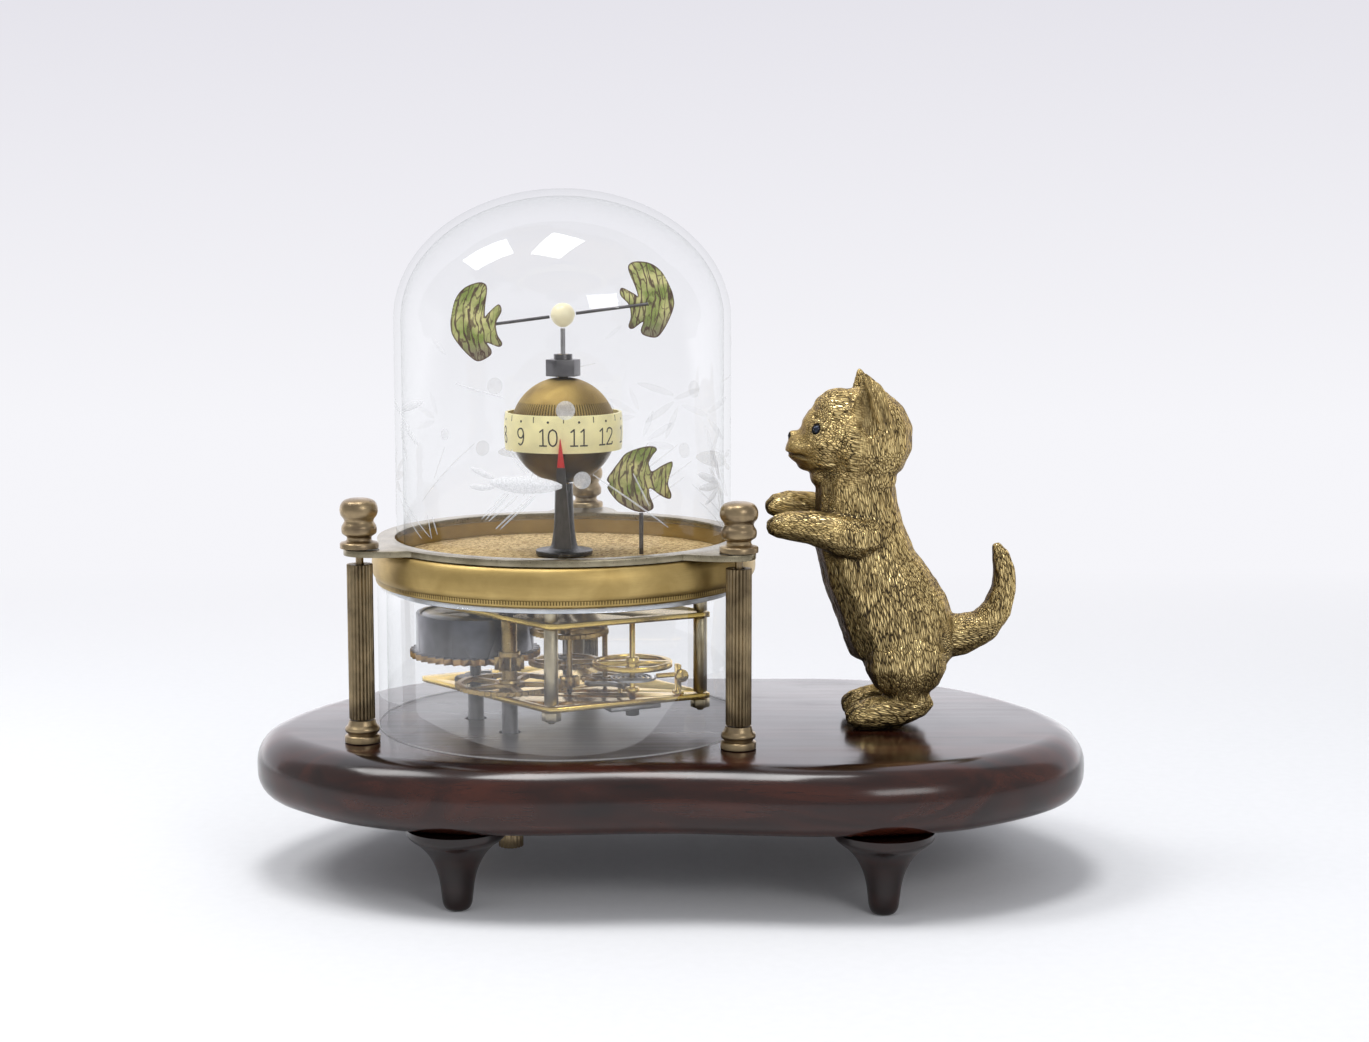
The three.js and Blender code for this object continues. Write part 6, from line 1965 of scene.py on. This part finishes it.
@dataclass
class Kitten:
    """Cast kitten: the CAD figure remeshed and smoothed, with a face, ears and toes pressed in.

    Its set-out is a drawing set_out units tall, with X from the stand to the back, Y across and Z up.
    """

    finishes: Finishes
    voxel: float = 0.42 * MM
    smoothing: int = 16
    form_smoothing: int = 150
    set_out: float = 94.2
    paw_reach: float = 31.8
    sole_flat: float = 0.5 * MM
    sole_kept: float = 0.3 * MM
    eye: tuple[float, float] = (-19.1, 79.3)
    nose: tuple[float, float, float] = (-25.8, 0.0, 76.9)
    mouth: tuple[tuple[float, float], ...] = ((-27.0, 72.1), (-22.6, 71.9), (-19.8, 71.0), (-17.0, 70.2))
    face: tuple[tuple[tuple[float, float, float], tuple[float, float, float]], ...] = (
        ((-22.5, 2.2, 73.7), (3.3, 2.8, 2.5)), ((-22.5, -2.2, 73.7), (3.3, 2.8, 2.5)),
        ((-24.2, 0.0, 76.9), (1.75, 1.8, 1.5)), ((-20.8, 0.0, 69.7), (2.9, 3.0, 2.4)),
        ((-16.9, 0.0, 66.3), (3.1, 5.4, 3.4)), ((-4.5, 10.7, 84.0), (4.7, 1.7, 8.3)),
        ((-4.5, -10.7, 84.0), (4.7, 1.7, 8.3)), ((-4.8, 0.0, 66.0), (7.9, 10.4, 6.5)))
    tuft_height: float = 0.2 * MM
    tufts_per_m: float = 860.0
    # Strengths of the painted shade on down- and forward-facing skin and in recesses, and the most it may
    # darken.
    under_shade: float = 1.15
    dirt: float = 1.1
    darkest: float = 0.92
    size: float = field(init=False)
    stand: Vector = field(init=False)
    eye_out: float = field(init=False)
    recess: list[float] = field(default_factory=list)

    def build(self) -> None:
        """Make the figure."""
        low, high = (Vector(corner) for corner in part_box("cat_figure"))
        self.size = (high.z - low.z) / self.set_out
        self.stand = Vector((self.standing_x(low), (low.y + high.y) / 2, low.z))
        bm = self.smooth_form()
        bm.normal_update()
        self.eye_out = self.eye_depth(bm)
        marks = self.press(bm)
        along, tall = self.eye
        finish = FurBronze(
            eyes=tuple(self.spot(Vector((along, way * self.eye_out, tall))) for way in (-1, 1)),
            nose=self.spot(Vector(self.nose)), size=self.size).paint()
        piece = set_down(bm, "kitten_casting", finish, "cat_figure", smooth=180)
        for name, values in marks.items():
            store(piece.data, name, values)

    def standing_x(self, low: Vector) -> float:
        """The figure's own origin along X, found from its foremost point, the tip of the forepaw."""
        return low.x + self.paw_reach * self.size

    def spot(self, local: Vector) -> Vector:
        """A place of the figure's set-out in the frame."""
        return self.stand + local * self.size

    def eye_depth(self, bm: bmesh.types.BMesh) -> float:
        """How far the skin lies from the middle plane at the eyes.

        Args:
            bm: The skin.

        Returns:
            The distance in the set-out.
        """
        along, tall = self.eye
        places = ((vert.co - self.stand) / self.size for vert in bm.verts)
        return max(abs(at.y) for at in places if abs(at.x - along) < 0.6 and abs(at.z - tall) < 0.6)

    def smooth_form(self) -> bmesh.types.BMesh:
        """The CAD figure with cheeks, nose, chin and ruff, as one even, rounded skin.

        Returns:
            The shape.
        """
        bm = cad_copy("cat_figure")
        for centre, half in self.face:
            for vert in bmesh.ops.create_icosphere(bm, subdivisions=3, radius=1.0)["verts"]:
                vert.co = self.spot(Vector(centre) + vert.co * Vector(half))
        casting = linked("casting", meshed(bm, "casting"))
        skin = casting.modifiers.new("skin", "REMESH")
        skin.mode = "VOXEL"
        skin.voxel_size = self.voxel
        ease = casting.modifiers.new("ease", "SMOOTH")
        ease.factor = 0.5
        ease.iterations = self.smoothing
        done = settled(casting)
        ease.iterations = self.form_smoothing
        soft = settled(casting)
        bpy.data.objects.remove(casting)
        done.normal_update()
        self.recess = [(far.co - near.co).dot(near.normal) / self.size
                       for near, far in zip(done.verts, soft.verts)]
        soft.free()
        sole = heights("cat_figure")[0]
        for vert in done.verts:
            if vert.co.z < sole + self.sole_flat:
                vert.co.z = sole
        return done

    def press(self, bm: bmesh.types.BMesh) -> dict[str, list[float]]:
        """Press the face, ears and toes into the skin and raise faint tufts.

        Args:
            bm: The skin, whose vertices are moved.

        Returns:
            For each vertex, how level the fur lies, how bare it is, how much painted shade it takes, how much
            rubbed wear and painted highlight, and how raised it is.
        """
        sole = heights("cat_figure")[0]
        marks: dict[str, list[float]] = {"lie": [], "bare": [], "painted_shade": [], "rub": [], "tuft": []}
        moves = []
        for vert, recess in zip(bm.verts, self.recess):
            at = (vert.co - self.stand) / self.size
            pushes = [self.ear(at), self.socket(at), self.lips(at), self.toes(at)]
            depth = sum(push for push, _ in pushes)
            bare = self.bareness(at)
            level = self.lie(at)
            upright = noise.noise(Vector((vert.co.x, vert.co.y, 0.28 * vert.co.z)) * self.tufts_per_m)
            along = noise.noise(Vector((0.28 * vert.co.x, vert.co.y, vert.co.z)) * self.tufts_per_m)
            tuft = (upright + level * (along - upright)) * (1 - bare)
            moves.append(vert.normal * (self.tuft_height * tuft - depth * self.size))
            marks["lie"].append(level)
            marks["bare"].append(bare)
            marks["tuft"].append(tuft)
            # Painted shade: darker where the skin faces down or forward, in recesses, and in the pressed-in
            # ear, eye, mouth and toe marks.
            turned = max(-vert.normal.z - 0.15, 0.0) + 1.2 * max(-vert.normal.x - 0.3, 0.0)
            under = self.under_shade * turned * (1.0 - 0.65 * rising(at.z, 63.0, 71.0))
            deep = self.dirt * rising(recess, 0.0, 1.0)
            marks["painted_shade"].append(min(sum(shade for _, shade in pushes) + under + deep, self.darkest))
            # Rubbed wear and painted highlight on open, rounded parts.
            marks["rub"].append(rising(-recess, 0.5, 1.3))
        for vert, move in zip(bm.verts, moves):
            if vert.co.z > sole + self.sole_kept:
                vert.co += move
                vert.co.z = max(vert.co.z, sole)
        return marks

    def ear(self, at: Vector) -> tuple[float, float]:
        """Depth of the ear's cup and of the rim that stands off the head behind it, with painted shade in the
        cup and a painted shadow beyond the rim.

        Args:
            at: A place of the skin in the set-out.

        Returns:
            The depth to press in, and the painted shade.
        """
        rise = (at.z - 77.0) / 17.0
        if not 0 < rise < 1 or abs(at.y) < 10.0:
            return 0.0, 0.0
        half = 4.7 * (1 - rise) ** 0.7 * min(rise / 0.2, 1.0) ** 0.5 + 0.01
        off = (at.x + 5.0 + 2.4 * rise) / half
        length = math.sin(math.pi * rise ** 0.8) ** 0.6
        dip = hump(off, 0.7) * length
        rim = hump(abs(off) - 0.92, 0.24) * (1.0 if off > 0 else 0.5) * min(4 * (1 - rise), 1.0)
        behind = hump(off - 1.35, 0.26) * length
        return 1.5 * dip - 0.6 * rim + 0.35 * behind, 0.55 * dip + 0.4 * behind

    def socket(self, at: Vector) -> tuple[float, float]:
        """Depth of the eye's socket, with the ball swelling in it and the lid over it, and the painted shade
        in the socket.

        Args:
            at: A place of the skin in the set-out.

        Returns:
            The depth to press in, and the darkness.
        """
        along, tall = self.eye
        away = Vector((at.x - along, abs(at.y) - self.eye_out, at.z - tall))
        gap = away.length
        if gap > 5:
            return 0.0, 0.0
        dent = 0.6 * hump(gap, 3.2)
        ball = 0.7 * hump(gap, 1.4)
        lid = 0.35 * hump(gap - 2.3, 0.7) * (1 if away.z > 0 else 0.2)
        return dent - ball - lid, 0.35 * hump(gap, 3.0)

    def lips(self, at: Vector) -> tuple[float, float]:
        """Depth of the mouth line and of the jaw drawn in below it, with painted shade in the line and on the
        jaw.

        Args:
            at: A place of the skin in the set-out.

        Returns:
            The depth to press in, and the darkness.
        """
        if at.x > -19.8 or not 62 < at.z < 76:
            return 0.0, 0.0
        rows = self.mouth
        k = next((i for i in range(len(rows) - 1) if at.x <= rows[i + 1][0]), len(rows) - 2)
        (x0, z0), (x1, z1) = rows[k], rows[k + 1]
        line = z0 + (z1 - z0) * (at.x - x0) / (x1 - x0)
        fade = min((-19.8 - at.x) / 2.0, 1.0)
        drop = at.z - line
        groove = hump(drop, 0.75)
        jaw = rising(-drop, 0.0, 1.2)
        return fade * (0.7 * groove + 0.15 * jaw), fade * max(0.7 * groove, 0.3 * jaw)

    def toes(self, at: Vector) -> tuple[float, float]:
        """Depth of the grooves between the toes, and the painted shade in them.

        Args:
            at: A place of the skin in the set-out.

        Returns:
            The depth to press in, and the darkness.
        """
        if at.x < -27.5 and 46 < at.z < 62:
            across = (abs(at.y) - 6.2) / 3.4
            fade = min((-27.5 - at.x) / 2.0, 1.0)
        elif at.x < -5.5 and at.z < 7.5:
            across = (abs(at.y) - 8.0) / 5.2
            fade = min((-5.5 - at.x) / 2.5, 1.0)
        else:
            return 0.0, 0.0
        groove = max(hump(across - line, 0.16) for line in (-0.42, 0.06, 0.54))
        return 0.65 * fade * groove, 0.75 * fade * groove

    def lie(self, at: Vector) -> float:
        """How level the fur lies: 0 upright on trunk and neck, 1 along the face, arms, feet and tail root.

        Args:
            at: A place of the skin in the set-out.

        Returns:
            A share from 0 to 1.
        """
        head = rising(at.z, 62.5, 67.5) * rising(-at.x, 4.0, 10.0)
        foot = rising(-at.z, -9.0, -6.5)
        tail = rising(at.x, 13.0, 15.5) * rising(-at.z, -30.0, -24.0)
        arm = rising(-at.x, 11.0, 15.0) if 44 < at.z < 62 else 0.0
        return max(head, foot, tail, arm)

    def bareness(self, at: Vector) -> float:
        """How bare the skin is: high on snout, chin, ears and paws.

        Args:
            at: A place of the skin in the set-out.

        Returns:
            A share from 0 to 1.
        """
        snout = rising(-at.x, 17.5, 21.5) * rising(at.z, 62.0, 66.0)
        ear = rising(at.z, 79.0, 82.0) * rising(abs(at.y), 10.0, 10.8)
        arm = 0.3 * rising(-at.x, 12.0, 16.0) if 44 < at.z < 62 else 0.0
        return max(0.7 * snout, 0.5 * ear, arm)


@dataclass
class Studio:
    """Floor, lights and the camera at the photograph's place."""

    axis: Vector
    image_width: float = 1369.0
    focal_pixels: float = 2358.6
    sensor: float = 36.0
    camera_from_axis: tuple[float, float, float] = (33.83, -657.2, 183.9)
    pitch_down: float = 7.43
    room_light: float = 0.61
    room_colour: Colour = (0.93, 0.94, 0.97)
    lamp_aim: tuple[float, float, float] = (0.03, 0.0, 0.09)
    paper_width: float = 8.0
    paper_front: float = -3.0
    paper_top: float = 4.0
    sweep_start: float = 0.9
    sweep_radius: float = 0.6
    lamps: tuple[tuple[str, tuple[float, float, float], tuple[float, float], float], ...] = (
        ("top_box", (-0.07, -0.14, 1.2), (0.3, 0.44), 5.1),
        ("left_box", (-0.65, -0.02, 1.06), (0.34, 0.44), 4.4),
        ("right_box", (0.5, -0.88, 0.6), (0.38, 0.28), 1.8),
    )

    def build(self) -> None:
        """Set up everything round the clock."""
        self.floor()
        self.lights()
        self.camera()
        bpy.context.scene.view_settings.view_transform = "Standard"

    def floor(self) -> None:
        """Sweep of white paper that rises behind the clock."""
        bm = bmesh.new()
        start, size = self.sweep_start, self.sweep_radius
        curve = bend((start, size), size, -90, 0, 16)
        sweep = [(self.paper_front, 0.0)] + curve + [(start + size, self.paper_top)]
        verts = [bm.verts.new((-self.paper_width / 2, y, z)) for y, z in sweep]
        edges = [bm.edges.new(pair) for pair in zip(verts, verts[1:])]
        far = new_points(bmesh.ops.extrude_edge_only(bm, edges=edges))
        bmesh.ops.translate(bm, verts=far, vec=(self.paper_width, 0, 0))
        bmesh.ops.recalc_face_normals(bm, faces=bm.faces)
        mesh = meshed(bm, "paper_sweep")
        mesh.shade_smooth()
        mesh.materials.append(Backdrop().paint())
        paper = linked("paper_sweep", mesh)

    def lights(self) -> None:
        """Soft boxes above and beside the clock, in a pale room."""
        world = bpy.data.worlds.new("studio_room")
        world.use_nodes = True
        back = world.node_tree.nodes["Background"]
        back.inputs["Color"].default_value = (*self.room_colour, 1.0)
        back.inputs["Strength"].default_value = self.room_light
        bpy.context.scene.world = world
        aim = self.axis + Vector(self.lamp_aim)
        for name, place, size, power in self.lamps:
            lamp = bpy.data.lights.new(name, "AREA")
            lamp.shape = "RECTANGLE"
            lamp.size, lamp.size_y = size
            lamp.energy = power
            box = linked(name, lamp)
            box.location = Vector(place)
            box.rotation_euler = (aim - Vector(place)).to_track_quat("-Z", "Y").to_euler()

    def camera(self) -> None:
        """Camera at the photograph's place, looking a little down."""
        data = bpy.data.cameras.new("photo_camera")
        data.sensor_width = self.sensor
        data.lens = self.sensor * self.focal_pixels / self.image_width
        data.clip_start = 0.01
        eye = linked("photo_camera", data)
        right, away, up = (value * MM for value in self.camera_from_axis)
        eye.location = (self.axis.x + right, self.axis.y + away, up)
        eye.rotation_euler = (math.radians(90 - self.pitch_down), 0, 0)
        bpy.context.scene.camera = eye


def clear_default_scene() -> None:
    """Remove what a new Blender file holds apart from the frame."""
    kept = set(frame["nodes"].values()) | set(frame["bodies"].values())
    for thing in list(bpy.data.objects):
        if thing not in kept and thing.type in {"CAMERA", "LIGHT"}:
            bpy.data.objects.remove(thing)


def main() -> None:
    """Build the clock's looks in order."""
    logging.basicConfig(level=logging.INFO, format="%(name)s %(message)s")
    clear_default_scene()
    axis = Vector((*middle("glass_dome").xy, 0.0))
    finishes = Finishes(axis)
    for assembly in (Base, Pillars, Ring, Glassware, Dial, School, Movement, Kitten):
        assembly(finishes).build()
    Studio(axis).build()


if __name__ == "__main__":
    main()
